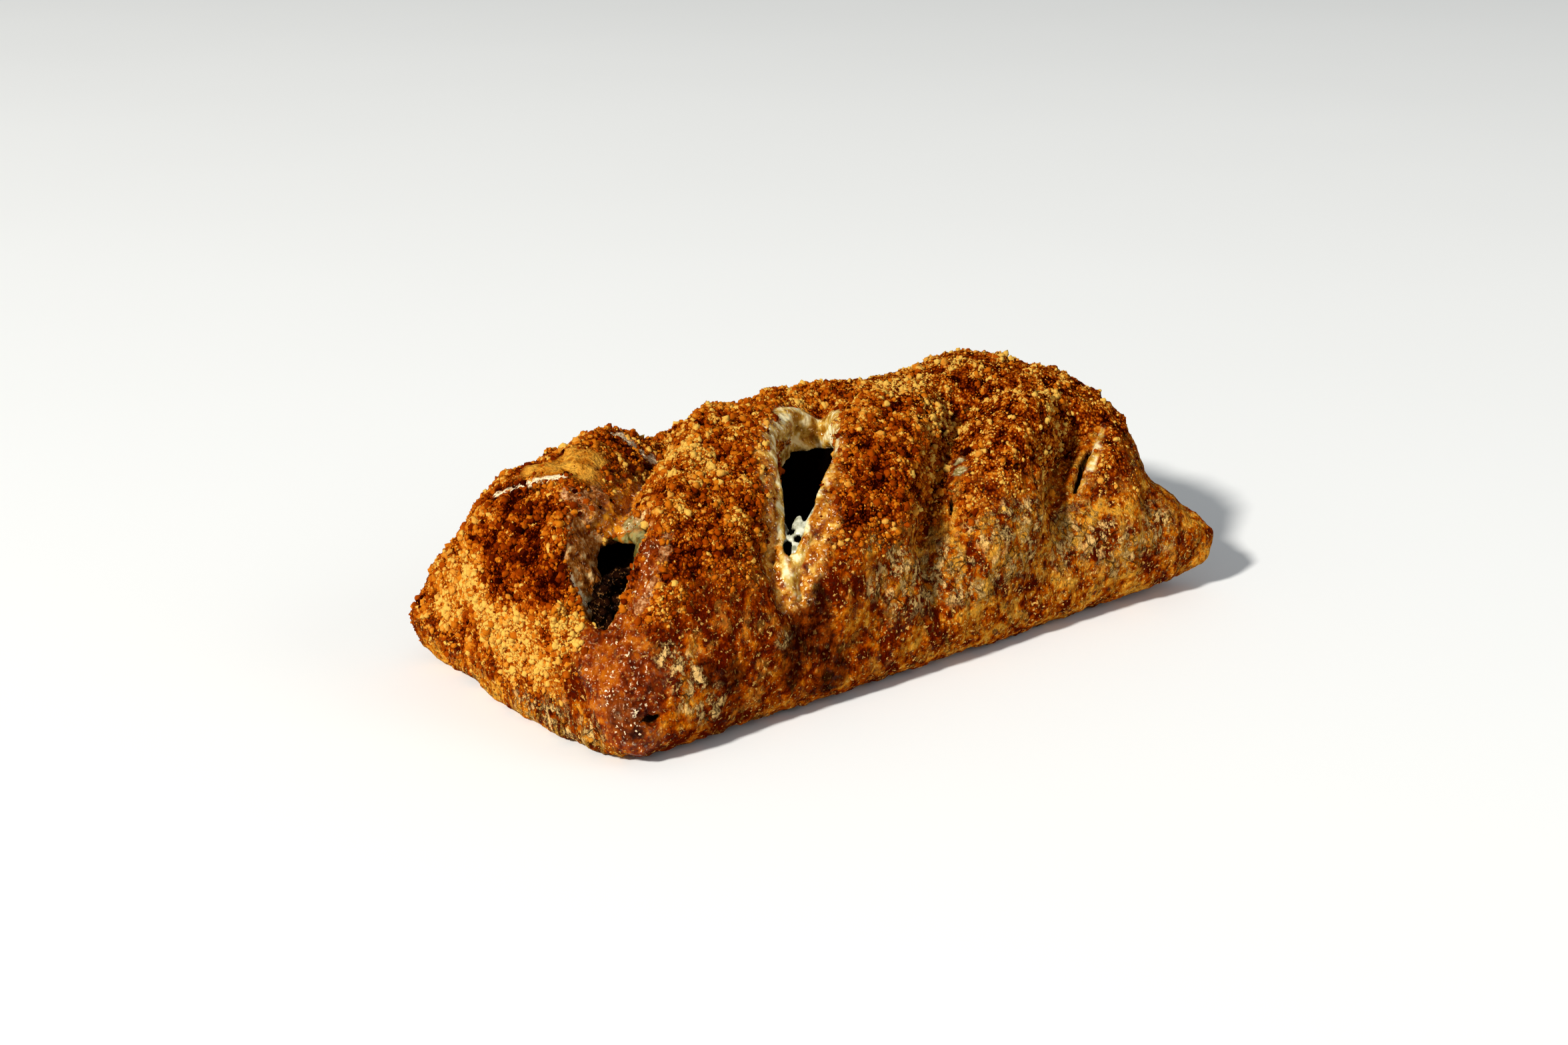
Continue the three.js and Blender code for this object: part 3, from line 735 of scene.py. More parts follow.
def clods(points):
    """How high the lumps that the crumbs have baked into stand, from about 0 to 1."""
    return np.clip(sum(share * knobs(points, size, seed) for share, size, seed in CLODS), 0, 1)


CLUMP_PROUD, CLUMP_HIGHEST, CLUMP_SPACING, CLUMP_SPREAD = 0.9, 3.4, 6, 1.6


def clump_places():
    """Where the solid's own crumbs stand out of its skin: the height and place of each."""
    solid_skin = skin_tree(creased=False)
    proud = []
    for spot in mesh_places(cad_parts["pastry_case"].data) / MM - np.array(SHIFT):
        near, way, _, away = solid_skin.find_nearest(Vector(spot))
        if CLUMP_PROUD < away < CLUMP_HIGHEST and (Vector(spot) - near).dot(way) > 0:
            proud.append((away, np.array(SKIN.find_nearest(near)[0])))
    proud.sort(key=lambda found: -found[0])
    kept = []
    for found in proud:
        if all(np.linalg.norm(found[1] - other[1]) > CLUMP_SPACING for other in kept):
            kept.append(found)
    return kept


def clumps_over(points):
    """How far the clumps of crumbs that the solid has lift each point."""
    lift = np.zeros(len(points))
    for height, place in clump_places():
        away = away_from(place, points) / (CLUMP_SPREAD * height)
        lift = np.maximum(lift, height * np.sqrt(np.clip(1 - away ** 2, 0, 1)))
    return lift


# Relief of the crust: how wide each kind is, how it is drawn out, and how high it stands.
STREAK_PITCHES, STREAK_RISE, TOPPING_STREAK = (2.2, 9, 9), 0.5, 0.9
FLAKE_PITCH, FLAKE_SHARES, FLAKE_RISE = 5, (0.02, 0.14), 0.7
WRINKLE_PITCH, WRINKLE_DRAWN, LIP_WRINKLE, LEFT_WRINKLE, FOLD_WRINKLE = 2.5, (1, 1, 0.5), 0.12, 0.4, 1.2
PUCKER_PITCH, PUCKER_DRAWN, PUCKER_RISE = 4, (1, 1, 0.6), 0.6
BLISTER_PITCH, BLISTER_FLOOR, BLISTER_RISE = 7, 0.45, 0.8
CLOD_RISE, CLOD_SINK, CLOD_LESS = 2.8, 1.7, 0.4  # less by that share where the topping is sandy or thin
RELIEF_LOWEST = 1


def crust_relief(points, marks):
    """How far each point of the crust stands out: crumbs, flakes, blisters and wrinkles."""
    topping, lip, thin = marks["topping"], marks["lip"], marks["thin"]
    bare = (1 - topping) * (1 - lip)
    across, along = slash_frame(points[:, 0], points[:, 1])
    streaks = ripple(np.stack([across, along, points[:, 2]], 1) / STREAK_PITCHES, 1, 3, seed=4)
    flakes = ramp(ripple(points, FLAKE_PITCH, 4, seed=5), *FLAKE_SHARES)
    wrinkles = ripple(points * WRINKLE_DRAWN, WRINKLE_PITCH, 2, seed=6)
    puckers = ripple(points * PUCKER_DRAWN, PUCKER_PITCH, 3, seed=13)
    blisters = np.clip(knobs(points, BLISTER_PITCH, 7) - BLISTER_FLOOR, 0, 1)
    standing = points[:, 2] > RELIEF_LOWEST
    return standing * (
        topping * (CLOD_RISE * marks["clod"] - CLOD_SINK)
        * (1 - CLOD_LESS * marks["sandy"]) * (1 - CLOD_LESS * thin)
        + topping * thin * TOPPING_STREAK * streaks
        + topping * clumps_over(points)
        + bare * (STREAK_RISE * streaks + BLISTER_RISE * blisters + PUCKER_RISE * puckers
                  + FLAKE_RISE * marks["flaky"] * flakes)
        + (lip * (LIP_WRINKLE + LEFT_WRINKLE * marks["left"]) + FOLD_WRINKLE * marks["folded"]) * wrinkles
    )


CRUST_MARKS = ("topping", "lip", "cut_shade", "nose", "drips", "flaky", "sandy", "scorched", "bald", "golden",
               "torn", "browned", "cheesy", "folded", "thin", "clod", "veiled", "left")


def keep_marks(mesh, marks):
    for name, values in marks.items():
        attribute = mesh.attributes.new(name, "FLOAT", "POINT")
        attribute.data.foreach_set("value", np.asarray(values, np.float32))


def mesh_places(mesh, what="vertices", field="co"):
    values = np.empty(len(getattr(mesh, what)) * 3, np.float32)
    getattr(mesh, what).foreach_get(field, values)
    return values.reshape(-1, 3).astype(float)


def hollow_shape():
    bm = cube_grid(HOLLOW_CUTS)
    return reshape(bm, hollow_form(places_of(bm)))


def crust_mesh():
    bm = cut_dough()
    soften(bm)
    base = [f for f in bm.faces if max(v.co.z for v in f.verts) < BASE_SKIN]
    corners = dict.fromkeys(v for f in base for v in f.verts)  # in order, so that runs agree
    sides = dict.fromkeys(e for f in base for e in f.edges)
    bmesh.ops.dissolve_limit(bm, angle_limit=BASE_BEND, verts=list(corners), edges=list(sides))
    bm = cut_away(bm, hollow_shape())
    bmesh.ops.triangulate(bm, faces=bm.faces)
    points = places_of(bm)
    marks = crust_marks(points)
    lifted(bm, crust_relief(points, marks))
    for v in bm.verts:
        v.co.z = max(v.co.z, 0)
    mesh = mesh_of(bm)
    keep_marks(mesh, marks)
    return mesh


# Colours of the pastry, as they look in daylight. Lists are stops from dark to light.
TOAST = [(0, "#200200"), (0.3, "#621A00"), (0.55, "#963E04"), (0.78, "#BC6C12"), (1, "#D0A448")]
AMBER_DOUGH = [(0.39, "#460C00"), (0.46, "#802E00"), (0.53, "#A65504"), (0.61, "#C88828")]
NOSE_GLAZE = [(0.4, "#320500"), (0.5, "#762802"), (0.6, "#A45408")]
OILED_LIP = [(0.38, "#945E0C"), (0.5, "#CCA448"), (0.62, "#F0E2B0")]
STEAMED_LIP = [(0.38, "#5E2200"), (0.5, "#AC6420"), (0.62, "#E4BC7C")]
GOLDEN_GLAZE = [(0.38, "#6E2A00"), (0.5, "#AC6206"), (0.64, "#DEAC4C")]
FOLDED_DOUGH = [(0.4, "#50200A"), (0.5, "#925628"), (0.62, "#D2A270")]
AMBER_CHEESE = [(0.36, "#5A1800"), (0.48, "#B05A04"), (0.6, "#E29418")]
GLASSY_CHEESE = [(0.38, "#4A3C14"), (0.5, "#867C48"), (0.64, "#BCB488")]
# PAINTED_SPARKLE is a painted highlight colour for tiny specks on the bare crust.
VEIL, PIT, FLAKE, FLAKE_CRACK, PAINTED_SPARKLE = "#CC9838", "#320900", "#E2B870", "#3A1400", "#E8B45C"
DRIP_DARK, DRIP_LIGHT, GOLD_DARK, GOLD_LIGHT = "#1E0200", "#6A2602", "#B0640E", "#E0A038"
# PAINTED_CUT_SHADE is painted shade, the near-black inside the cuts and cracks.
# PAINTED_GLINT is a painted highlight: a pale colour that stands in for glints on the nose and wet lips.
TORN_DOUGH, PAINTED_GLINT, PAINTED_CUT_SHADE, OIL = "#F0DAB0", "#F6DCB2", "#0C0502", "#FFE2B8"
MINCE_LIGHT, MINCE_DARK, MINCE_FAT_AND_GLINT, MINCE_PAINTED_SHADE = "#34180A", "#060201", "#B87C3C", "#080302"
MILK_DARK, MILK_LIGHT, MELT_DARK, MELT_LIGHT = "#7C7C62", "#CDCEB8", "#4E461A", "#8E8650"
FLOOR_DARK, FLOOR_LIGHT = "#F1F3F3", "#F5F7F7"


def shade(code):
    """A colour code as linear red, green, blue and alpha."""
    parts = [int(code[i:i + 2], 16) / 255 for i in (1, 3, 5)]
    return (*[p / 12.92 if p <= 0.04045 else ((p + 0.055) / 1.055) ** 2.4 for p in parts], 1)


class Wire:
    """A socket's value in a finish, with arithmetic that adds the nodes for it."""

    def __init__(self, finish, socket):
        self.finish, self.socket = finish, socket

    def maths(self, operation, first, second, clamp=False):
        settings = {"operation": operation, "use_clamp": clamp}
        return self.finish.node("ShaderNodeMath", settings, {0: first, 1: second})

    def __add__(self, other):
        return self.maths("ADD", self, other)

    def __sub__(self, other):
        return self.maths("SUBTRACT", self, other)

    def __rsub__(self, other):
        return self.maths("SUBTRACT", other, self)

    def __mul__(self, other):
        return self.maths("MULTIPLY", self, other)

    __radd__, __rmul__ = __add__, __mul__

    def clamped(self):
        return self.maths("ADD", self, 0.0, clamp=True)

    def over(self, start, end):
        """0 below start and 1 above end, with a smooth change between them."""
        sockets = {"Value": self, "From Min": start, "From Max": end}
        return self.finish.node("ShaderNodeMapRange", {"interpolation_type": "SMOOTHSTEP"}, sockets)


class Finish:
    """A material's nodes."""

    def __init__(self, name):
        self.material = bpy.data.materials.new(name)
        self.material.use_nodes = True
        self.tree = self.material.node_tree
        self.tree.nodes.clear()
        self.places = self.node("ShaderNodeTexCoord", output="Object")

    def node(self, kind, settings=(), sockets=(), output=0):
        made = self.tree.nodes.new(kind)
        for name, value in dict(settings).items():
            if name == "stops":
                self.set_stops(made.color_ramp, value)
            else:
                setattr(made, name, value)
        for name, value in dict(sockets).items():
            if isinstance(value, Wire):
                self.tree.links.new(value.socket, made.inputs[name])
            else:
                made.inputs[name].default_value = shade(value) if isinstance(value, str) else value
        return Wire(self, made.outputs[output])

    def set_stops(self, colours, stops):
        for i, (place, code) in enumerate(stops):
            stop = colours.elements[i] if i < 2 else colours.elements.new(place)
            stop.position, stop.color = place, shade(code)

    def mark(self, name):
        return self.node("ShaderNodeAttribute", {"attribute_name": name}, output="Fac")

    def mix(self, share, first, second):
        settings = {"data_type": "RGBA", "clamp_factor": True}
        return self.node("ShaderNodeMix", settings, {0: share, 6: first, 7: second}, output=2)

    def coated(self, ground, *coats):
        """The colour of a ground under coats, each with the share that it covers."""
        for share, coat in coats:
            ground = self.mix(share, ground, coat)
        return ground

    def ramped(self, value, stops):
        return self.node("ShaderNodeValToRGB", {"stops": stops}, {"Fac": value})

    def stretched(self, scale, turn=0.0):
        """Places for noise that is drawn out that much along each axis, after a turn."""
        sockets = {"Vector": self.places, "Scale": scale, "Rotation": (0, 0, turn)}
        return self.node("ShaderNodeMapping", {"vector_type": "TEXTURE"}, sockets)

    def sized(self, size, places=None):
        """Sockets for a texture of about that size in millimetres."""
        return {"Vector": places or self.places, "Scale": 1 / (size * MM)}

    def cloud(self, size, detail, roughness=0.55, places=None):
        """Cloudy noise with lumps of about that size in millimetres."""
        sockets = {**self.sized(size, places), "Detail": detail, "Roughness": roughness}
        return self.node("ShaderNodeTexNoise", {}, sockets, output="Fac")

    def grains(self, size, output="Distance"):
        """Cells of about that size in millimetres: the distance from each one's middle, or its own colour."""
        return self.node("ShaderNodeTexVoronoi", {}, self.sized(size), output)

    def veins(self, size, width):
        """1 along thin wandering lines round cells of about that size in millimetres."""
        stray = self.node("ShaderNodeTexNoise", {}, self.sized(size), "Color")
        settings = {"operation": "MULTIPLY_ADD"}
        bent = self.node("ShaderNodeVectorMath", settings, {0: stray, 1: (size * MM,) * 3, 2: self.places})
        settings = {"feature": "DISTANCE_TO_EDGE"}
        away = self.node("ShaderNodeTexVoronoi", settings, self.sized(size, bent), "Distance")
        return 1 - away.over(0, width)

    def bump(self, height, distance, strength=1.0):
        sockets = {"Height": height, "Distance": distance * MM, "Strength": strength}
        return self.node("ShaderNodeBump", {}, sockets, output="Normal")

    def surface(self, **sockets):
        named = {name.replace("_", " "): value for name, value in sockets.items()}
        return self.node("ShaderNodeBsdfPrincipled", {}, named)

    def blend(self, share, first, second):
        return self.node("ShaderNodeMixShader", {}, {0: share, 1: first, 2: second})

    def done(self, surface):
        end = self.tree.nodes.new("ShaderNodeOutputMaterial")
        self.tree.links.new(surface.socket, end.inputs["Surface"])
        return self.material


SLASH_TURN = math.radians(45)
STREAK_DRAWN, TOPPING_DRAWN, FLAKE_DRAWN = (1.6, 1, 1.8), (4, 1, 2), (1, 1, 1.4)
SANDY_LEVEL, SCORCH_DARKER = 0.45, 0.22  # how far sand fills the clods, how much darker scorched crumbs are


def levelled(clod, sandy):
    """The height of clods where sandy crumbs have filled them."""
    return clod + SANDY_LEVEL * sandy * (0.5 - clod)


def bare_crust(finish, marks):
    """Bare crust: amber dough under a streaky veil, with flakes, pits and pale specks of painted sparkle. Its
    colour and height.
    """
    veiled = marks["veiled"]
    broad, fine, beads = finish.cloud(9, 3, 0.55), finish.cloud(2.2, 4, 0.6), finish.cloud(1.1, 1)
    dough = 0.5 * broad + 0.5 * fine
    streak = finish.cloud(3.4, 6, 0.7, finish.stretched(STREAK_DRAWN, SLASH_TURN))
    uneven_bake = (dough - 0.5) * (0.8 + 0.8 * veiled)
    value = 0.5 + uneven_bake + 0.13 * (veiled - 0.75) + 0.22 * (streak - 0.5)
    veil = veiled * streak.over(0.53, 0.58)
    nose = marks["nose"].over(0.25, 0.75)
    drips = (marks["drips"] * (0.4 + streak)).over(0.3, 0.7)
    pits = finish.cloud(1.6, 4, 0.7).over(0.56, 0.63)
    flaky = marks["flaky"].over(0.2, 0.7)
    flakes = flaky * finish.cloud(2.2, 6, 0.75, finish.stretched(FLAKE_DRAWN)).over(0.5, 0.56)
    cracks = flaky * finish.veins(4.2, 0.06) * finish.cloud(5, 2).over(0.46, 0.56)
    # Painted highlights: tiny pale specks that stand in for sparkle, fewer on the drips and the nose.
    painted_sparkle = finish.cloud(0.9, 2).over(0.6, 0.65) * (1 - 0.8 * drips) * (1 - 0.6 * nose)
    colour = finish.coated(
        finish.ramped(value, AMBER_DOUGH),
        (veil * 0.5, VEIL),
        (nose * 0.8, finish.ramped(dough, NOSE_GLAZE)),
        (drips * 0.9, finish.mix(dough.over(0.42, 0.62), DRIP_DARK, DRIP_LIGHT)),
        (pits * (0.3 + 0.55 * veiled), PIT),
        (flakes * 0.75, FLAKE),
        (cracks * 0.8, FLAKE_CRACK),
        (painted_sparkle * (0.35 + 0.6 * veiled), PAINTED_SPARKLE),
        (marks["bald"] * 0.9, finish.mix(dough.over(0.42, 0.58), GOLD_DARK, GOLD_LIGHT)),
    )
    height = (broad + 1.2 * beads + 0.4 * fine + 0.5 * veil + 0.9 * flakes - 0.9 * cracks - 0.4 * pits
              + 0.3 * painted_sparkle)
    return colour, height


def topped_crust(finish, marks):
    """The ground that the crumbs have baked into, coloured darker as painted shade in the gaps between clods
    and grains. Its colour and height.
    """
    grain, each = 1 - finish.grains(0.9), finish.grains(0.9, "Color")
    meal = finish.cloud(0.5, 3)
    streak = finish.cloud(2, 5, 0.7, finish.stretched(TOPPING_DRAWN, SLASH_TURN))
    clod = levelled(marks["clod"], marks["sandy"])
    # Painted shade: the low parts between clods and the edges of the grains are coloured darker.
    value = (1.3 * clod - 0.58 + 0.8 * (grain - 0.55) + 0.45 * (each - 0.5) + 0.8 * (meal - 0.5)
             + 0.46 * marks["sandy"] - SCORCH_DARKER * marks["scorched"]
             + marks["thin"] * (1.1 * streak - 0.52))
    return finish.ramped(value.clamped(), TOAST), grain + 0.4 * each + 0.6 * meal


def lip_crust(finish, marks):
    """Dough that baked pale and oily beside the cuts, and greyer within the left one."""
    oiled = finish.ramped(finish.cloud(3, 3, 0.5), OILED_LIP)
    steamed = finish.ramped(finish.cloud(2.6, 5, 0.62), STEAMED_LIP)
    return finish.mix(marks["left"], oiled, steamed)


def crust_finish():
    finish = Finish("baked_crust")
    marks = {name: finish.mark(name) for name in CRUST_MARKS}
    topping, lip, cut_shade, golden = [marks[name] for name in ("topping", "lip", "cut_shade", "golden")]
    browned, cheesy = marks["browned"], marks["cheesy"]
    wet = (lip * (1 - 0.7 * marks["left"]) + golden + browned + cheesy).clamped()
    nose = marks["nose"].over(0.2, 0.7) * (1 - wet)
    bare, flakes = bare_crust(finish, marks)
    crumby, grain = topped_crust(finish, marks)
    torn = marks["torn"].over(0.2, 0.6) * finish.cloud(1.4, 4, 0.7).over(0.4, 0.5)
    melted = finish.cloud(2.5, 5, 0.65)
    glaze = finish.ramped(finish.cloud(2.4, 5, 0.68), GOLDEN_GLAZE)
    clustered = finish.cloud(5, 2).over(0.44, 0.6)
    # Painted highlights: pale specks where glints would be, clustered on the nose and spread over the wet
    # lips.
    painted_glints = (0.7 * nose * clustered + 0.75 * wet) * finish.cloud(0.8, 1).over(0.64, 0.69)
    colour = finish.coated(
        bare,
        (topping, crumby),
        (golden * finish.cloud(4, 4).over(0.34, 0.5), glaze),
        (marks["folded"].over(0.1, 0.7) * 0.85, finish.ramped(finish.cloud(1.8, 5, 0.65), FOLDED_DOUGH)),
        (lip.over(0.35, 0.8), lip_crust(finish, marks)),
        (torn * 0.95, TORN_DOUGH),
        (browned * 0.9, finish.ramped(melted, AMBER_CHEESE)),
        (cheesy.over(0.3, 0.8) * 0.85, finish.ramped(melted, GLASSY_CHEESE)),
        (painted_glints, PAINTED_GLINT),
        # Painted shade inside the cuts and cracks.
        (cut_shade.over(0.1, 0.8), PAINTED_CUT_SHADE),
    )
    beads, swells = finish.cloud(1.2, 0.5), finish.cloud(2.8, 1)
    height = (flakes + topping * (grain - flakes)) * (1 - 0.92 * (wet + nose).clamped())
    normal = finish.bump(height + nose * 1.2 * beads + wet * (1.1 * swells + 0.5 * beads), 0.7)
    glints = finish.cloud(1.6, 2).over(0.57, 0.63)
    gloss = (0.5 * wet + 0.12 * nose + (0.12 + 0.7 * nose + 0.5 * wet) * glints) * (1 - cut_shade)
    gloss = gloss * (1 - 0.95 * topping)
    matte = finish.surface(Base_Color=colour, Roughness=0.9, Specular_IOR_Level=0.0, Normal=normal)
    oily = finish.surface(Base_Color=colour, Roughness=0.14, Specular_IOR_Level=0.8, Normal=normal,
                          Specular_Tint=OIL)
    return finish.done(finish.blend(gloss.clamped(), matte, oily))


def crumb_finish():
    finish = Finish("toasted_crumb")
    speck = finish.cloud(0.8, 3, 0.6)
    colour = finish.ramped((finish.mark("toast_and_shade") + 0.3 * (speck - 0.5)).clamped(), TOAST)
    normal = finish.bump(speck, 0.3, 0.8)
    crumb = finish.surface(Base_Color=colour, Roughness=0.8, Specular_IOR_Level=0.0, Normal=normal)
    return finish.done(crumb)


def filling_finish():
    """Dark, greasy mince, browner where the light reaches the heap and painted near-black as shade away from
    it.
    """
    finish = Finish("minced_filling")
    heap_light = finish.mark("heap_light")
    lump, fat = finish.grains(1.8), finish.cloud(0.9, 4, 0.7)
    browned = finish.mix(lump.over(0.15, 0.7), MINCE_LIGHT, MINCE_DARK)
    # Pale fat specks, which are also painted glints on the greasy mince.
    browned = finish.mix(fat.over(0.57, 0.63) * 0.8, browned, MINCE_FAT_AND_GLINT)
    # Painted shade: away from the lit heap the mince is coloured near-black instead of its own colour.
    colour = finish.mix(heap_light, MINCE_PAINTED_SHADE, browned)
    normal = finish.bump(1.5 * fat - lump, 1.8)
    matte = finish.surface(Base_Color=colour, Roughness=0.8, Specular_IOR_Level=0.0, Normal=normal)
    greasy = finish.surface(Base_Color=colour, Roughness=0.2, Specular_IOR_Level=0.5, Normal=normal)
    return finish.done(finish.blend(heap_light * fat.over(0.5, 0.6) * 0.6, matte, greasy))


def cheese_finish():
    finish = Finish("melted_cheese")
    cloudy = finish.cloud(2.4, 4)
    milk = finish.mix(cloudy.over(0.35, 0.65), MILK_DARK, MILK_LIGHT)
    melted = finish.mix(cloudy.over(0.4, 0.6), MELT_DARK, MELT_LIGHT)
    browned = finish.mark("browned") * finish.cloud(3, 3).over(0.4, 0.55)
    colour = finish.coated(milk, (finish.mark("melted"), melted), (browned, GOLD_DARK))
    normal = finish.bump(cloudy, 0.4, 0.5)
    return finish.done(finish.surface(Base_Color=colour, Roughness=0.22, Normal=normal))


# Placing finished pieces in the frame.
def piece(name, mesh, material, replaced=()):
    mesh.name = name
    mesh.transform(TO_FRAME)
    mesh.materials.clear()
    mesh.materials.append(material)
    mesh.shade_smooth()
    made = linked(name, mesh)
    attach(made, "root")
    if replaced:
        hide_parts(*replaced)


# Crumbs.
Crumb = namedtuple("Crumb", "name count size detail rough evenness")
CRUMBS = [
    Crumb("crumb_dust", 24500, (0.16, 0.3), (4, 2), 0.9, 1),
    Crumb("crumb_sand", 24500, (0.24, 0.44), (4, 2), 0.9, 1.2),
    Crumb("crumb_grains", 9800, (0.36, 0.64), (5, 3), 0.7, 1.3),
    Crumb("crumb_bits", 4000, (0.48, 1.05), (6, 5), 0.7, 1.6),
]
CRUMB_SEED, CRUMB_KINDS, CRUMB_LOWEST, MOULD_PITCH = 11, 8, 3, 0.9
CRUMB_STRETCH, CRUMB_SUNK = (0.75, 1.25), (-0.45, 0.25)  # shares of its size
# CLOD_SHADE is painted shade: crumbs on the low parts between clods are coloured darker.
CRUMB_TOAST, CLOD_SHADE, SANDY_TOAST, THIN_TOAST = (-0.28, 0.19), 1.15, 0.52, 0.3
CRUMB_MARKS = ("crumbed", "sandy", "scorched", "clod", "thin")
Strewn = namedtuple("Strewn", "places ways marks")


def strewn_over(mesh, count, weight, draw):
    """Places drawn over a mesh, more where a mark is high, with the way out and the marks there."""
    mesh.calc_loop_triangles()
    corners = np.empty(len(mesh.loop_triangles) * 3, np.int32)
    mesh.loop_triangles.foreach_get("vertices", corners)
    corners = corners.reshape(-1, 3)
    points, ways = mesh_places(mesh), mesh_places(mesh, "vertex_normals", "vector")
    marks = {}
    for name in CRUMB_MARKS:
        values = np.empty(len(points), np.float32)
        mesh.attributes[name].data.foreach_get("value", values)
        marks[name] = values.astype(float)
    a, b, c = points[corners].transpose(1, 0, 2)
    area = np.linalg.norm(np.cross(b - a, c - a), axis=1)
    share = area * weight(marks)[corners].mean(1)
    chosen = draw.choice(len(corners), count, p=share / share.sum())
    spots = draw.dirichlet((1, 1, 1), count)
    mixed = {name: (values[corners[chosen]] * spots).sum(1) for name, values in marks.items()}
    at = (points[corners[chosen]] * spots[:, :, None]).sum(1)
    out = (ways[corners[chosen]] * spots[:, :, None]).sum(1)
    return Strewn(at, unit(out), mixed)


def crumb_moulds(detail, rough):
    """Points and triangles of a few uneven crumbs of about unit radius, with that many sides and rows."""
    moulds = []
    for kind in range(CRUMB_KINDS):
        bm = bmesh.new()
        bmesh.ops.create_uvsphere(bm, u_segments=detail[0], v_segments=detail[1], radius=1)
        bmesh.ops.triangulate(bm, faces=bm.faces)
        points = places_of(bm)
        swell = 1 + rough * ripple(points, MOULD_PITCH, 2, seed=kind + 1)
        triangles = np.array([[v.index for v in f.verts] for f in bm.faces])
        bm.free()
        moulds.append((points * swell[:, None], triangles))
    return moulds


def random_turns(draw, count):
    """Turns drawn evenly from all there are, as matrices."""
    w, x, y, z = unit(draw.normal(size=(count, 4))).T
    return np.stack([
        np.stack([1 - 2 * (y * y + z * z), 2 * (x * y - z * w), 2 * (x * z + y * w)], 1),
        np.stack([2 * (x * y + z * w), 1 - 2 * (x * x + z * z), 2 * (y * z - x * w)], 1),
        np.stack([2 * (x * z - y * w), 2 * (y * z + x * w), 1 - 2 * (x * x + y * y)], 1),
    ], 1)


def crumbs_mesh(places, sizes, toast_shades, moulds, draw):
    """One mesh of many crumbs, each a mould turned at random."""
    turns = random_turns(draw, len(places))
    stretch = draw.uniform(*CRUMB_STRETCH, (len(places), 3))
    kinds = draw.integers(len(moulds), size=len(places))
    points, triangles, toast_and_shade, start = [], [], [], 0
    for kind, (mould, faces) in enumerate(moulds):
        mine = kinds == kind
        shaped = mould[None] * (stretch[mine] * sizes[mine, None])[:, None, :]
        laid = np.einsum("nij,nkj->nki", turns[mine], shaped) + places[mine, None, :]
        count = len(laid)
        points.append(laid.reshape(-1, 3))
        first = start + np.arange(count) * len(mould)
        triangles.append((faces[None] + first[:, None, None]).reshape(-1, 3))
        toast_and_shade.append(np.repeat(toast_shades[mine], len(mould)))
        start += count * len(mould)
    mesh = bpy.data.meshes.new("crumbs")
    mesh.from_pydata(np.concatenate(points).tolist(), [], np.concatenate(triangles).tolist())
    keep_marks(mesh, {"toast_and_shade": np.concatenate(toast_and_shade)})
    return mesh


def toast_and_shade_of(strewn, draw):
    """How light each crumb is, from 0 for scorched to 1 for pale: its bake, and painted shade that darkens
    crumbs lying low between clods.
    """
    patchy = 0.2 * ripple(strewn.places, 12, 3, seed=8) + 0.15 * ripple(strewn.places, 3.5, 2, seed=10)
    marks = strewn.marks
    clod = levelled(marks["clod"], marks["sandy"])
    # Painted shade: crumbs lying low between clods are darker.
    drawn = draw.normal(*CRUMB_TOAST, len(strewn.places)) + patchy + CLOD_SHADE * clod
    pale = SANDY_TOAST * marks["sandy"] + THIN_TOAST * marks["thin"] - SCORCH_DARKER * marks["scorched"]
    return np.clip(drawn + pale, 0, 1)


def lay_crumbs(crust):
    stuff = crumb_finish()
    draw = np.random.default_rng(CRUMB_SEED)
    for kind in CRUMBS:
        strewn = strewn_over(crust, kind.count, lambda marks: marks["crumbed"] ** kind.evenness, draw)
        sizes = draw.uniform(*kind.size, kind.count)
        toast_shades = toast_and_shade_of(strewn, draw)
        laid = strewn.places + strewn.ways * (draw.uniform(*CRUMB_SUNK, kind.count) * sizes)[:, None]
        clear = laid[:, 2] > CRUMB_LOWEST
        moulds = crumb_moulds(kind.detail, kind.rough)
        mesh = crumbs_mesh(laid[clear], sizes[clear], toast_shades[clear], moulds, draw)
        piece(kind.name, mesh, stuff)


# What is inside.
MINCE = [(2.3, 4.4, 21), (1.7, 2.6, 22)]  # height, size and seed of its lumps
MINCE_GRAIN, MINCE_PITCH, MINCE_SINK = 0.9, 1.9, 3


def filling_mesh():
    bm = cube_grid(HOLLOW_CUTS)
    reshape(bm, filling_form(places_of(bm)))
    slash = slash_cutter(LEFT_SLASH, CLEARANCE)
    heap = worked(ball(HEAP_PLACE, HEAP_RADII), "BOOLEAN", slash, operation="INTERSECT")
    bm = remeshed(joined(bm, heap), FILLING_PITCH)
    points = places_of(bm)
    lumps = sum(height * knobs(points, size, seed) for height, size, seed in MINCE)
    lumps = lumps + MINCE_GRAIN * ripple(points, MINCE_PITCH, 2, seed=23) - MINCE_SINK
    # 1 on the heap that the light reaches, fading to 0 in the hollow, where the mince is painted as shade.
    heap_light = bell(away_from(HEAP_PLACE, points) / HEAP_LIGHT_REACH)
    mesh = mesh_of(lifted(bm, lumps))
    keep_marks(mesh, {"heap_light": heap_light})
    return mesh


# The cheese down the left slash: place along it, place off it, depth, half thickness.
STRIP_RUN = [(-79, 5.4, 5, 0.3), (-75, 6.6, 3.4, 1.4), (-70, 6.8, 2.6, 1.9), (-66, 5, 2, 1.8),
             (-62.5, 1.5, 1.6, 1.2), (-61, -2, 2, 0.3)]
STRIP_UNEVEN, STRIP_PITCH, STRIP_BROWNED = 0.5, 3, (-70, -63)


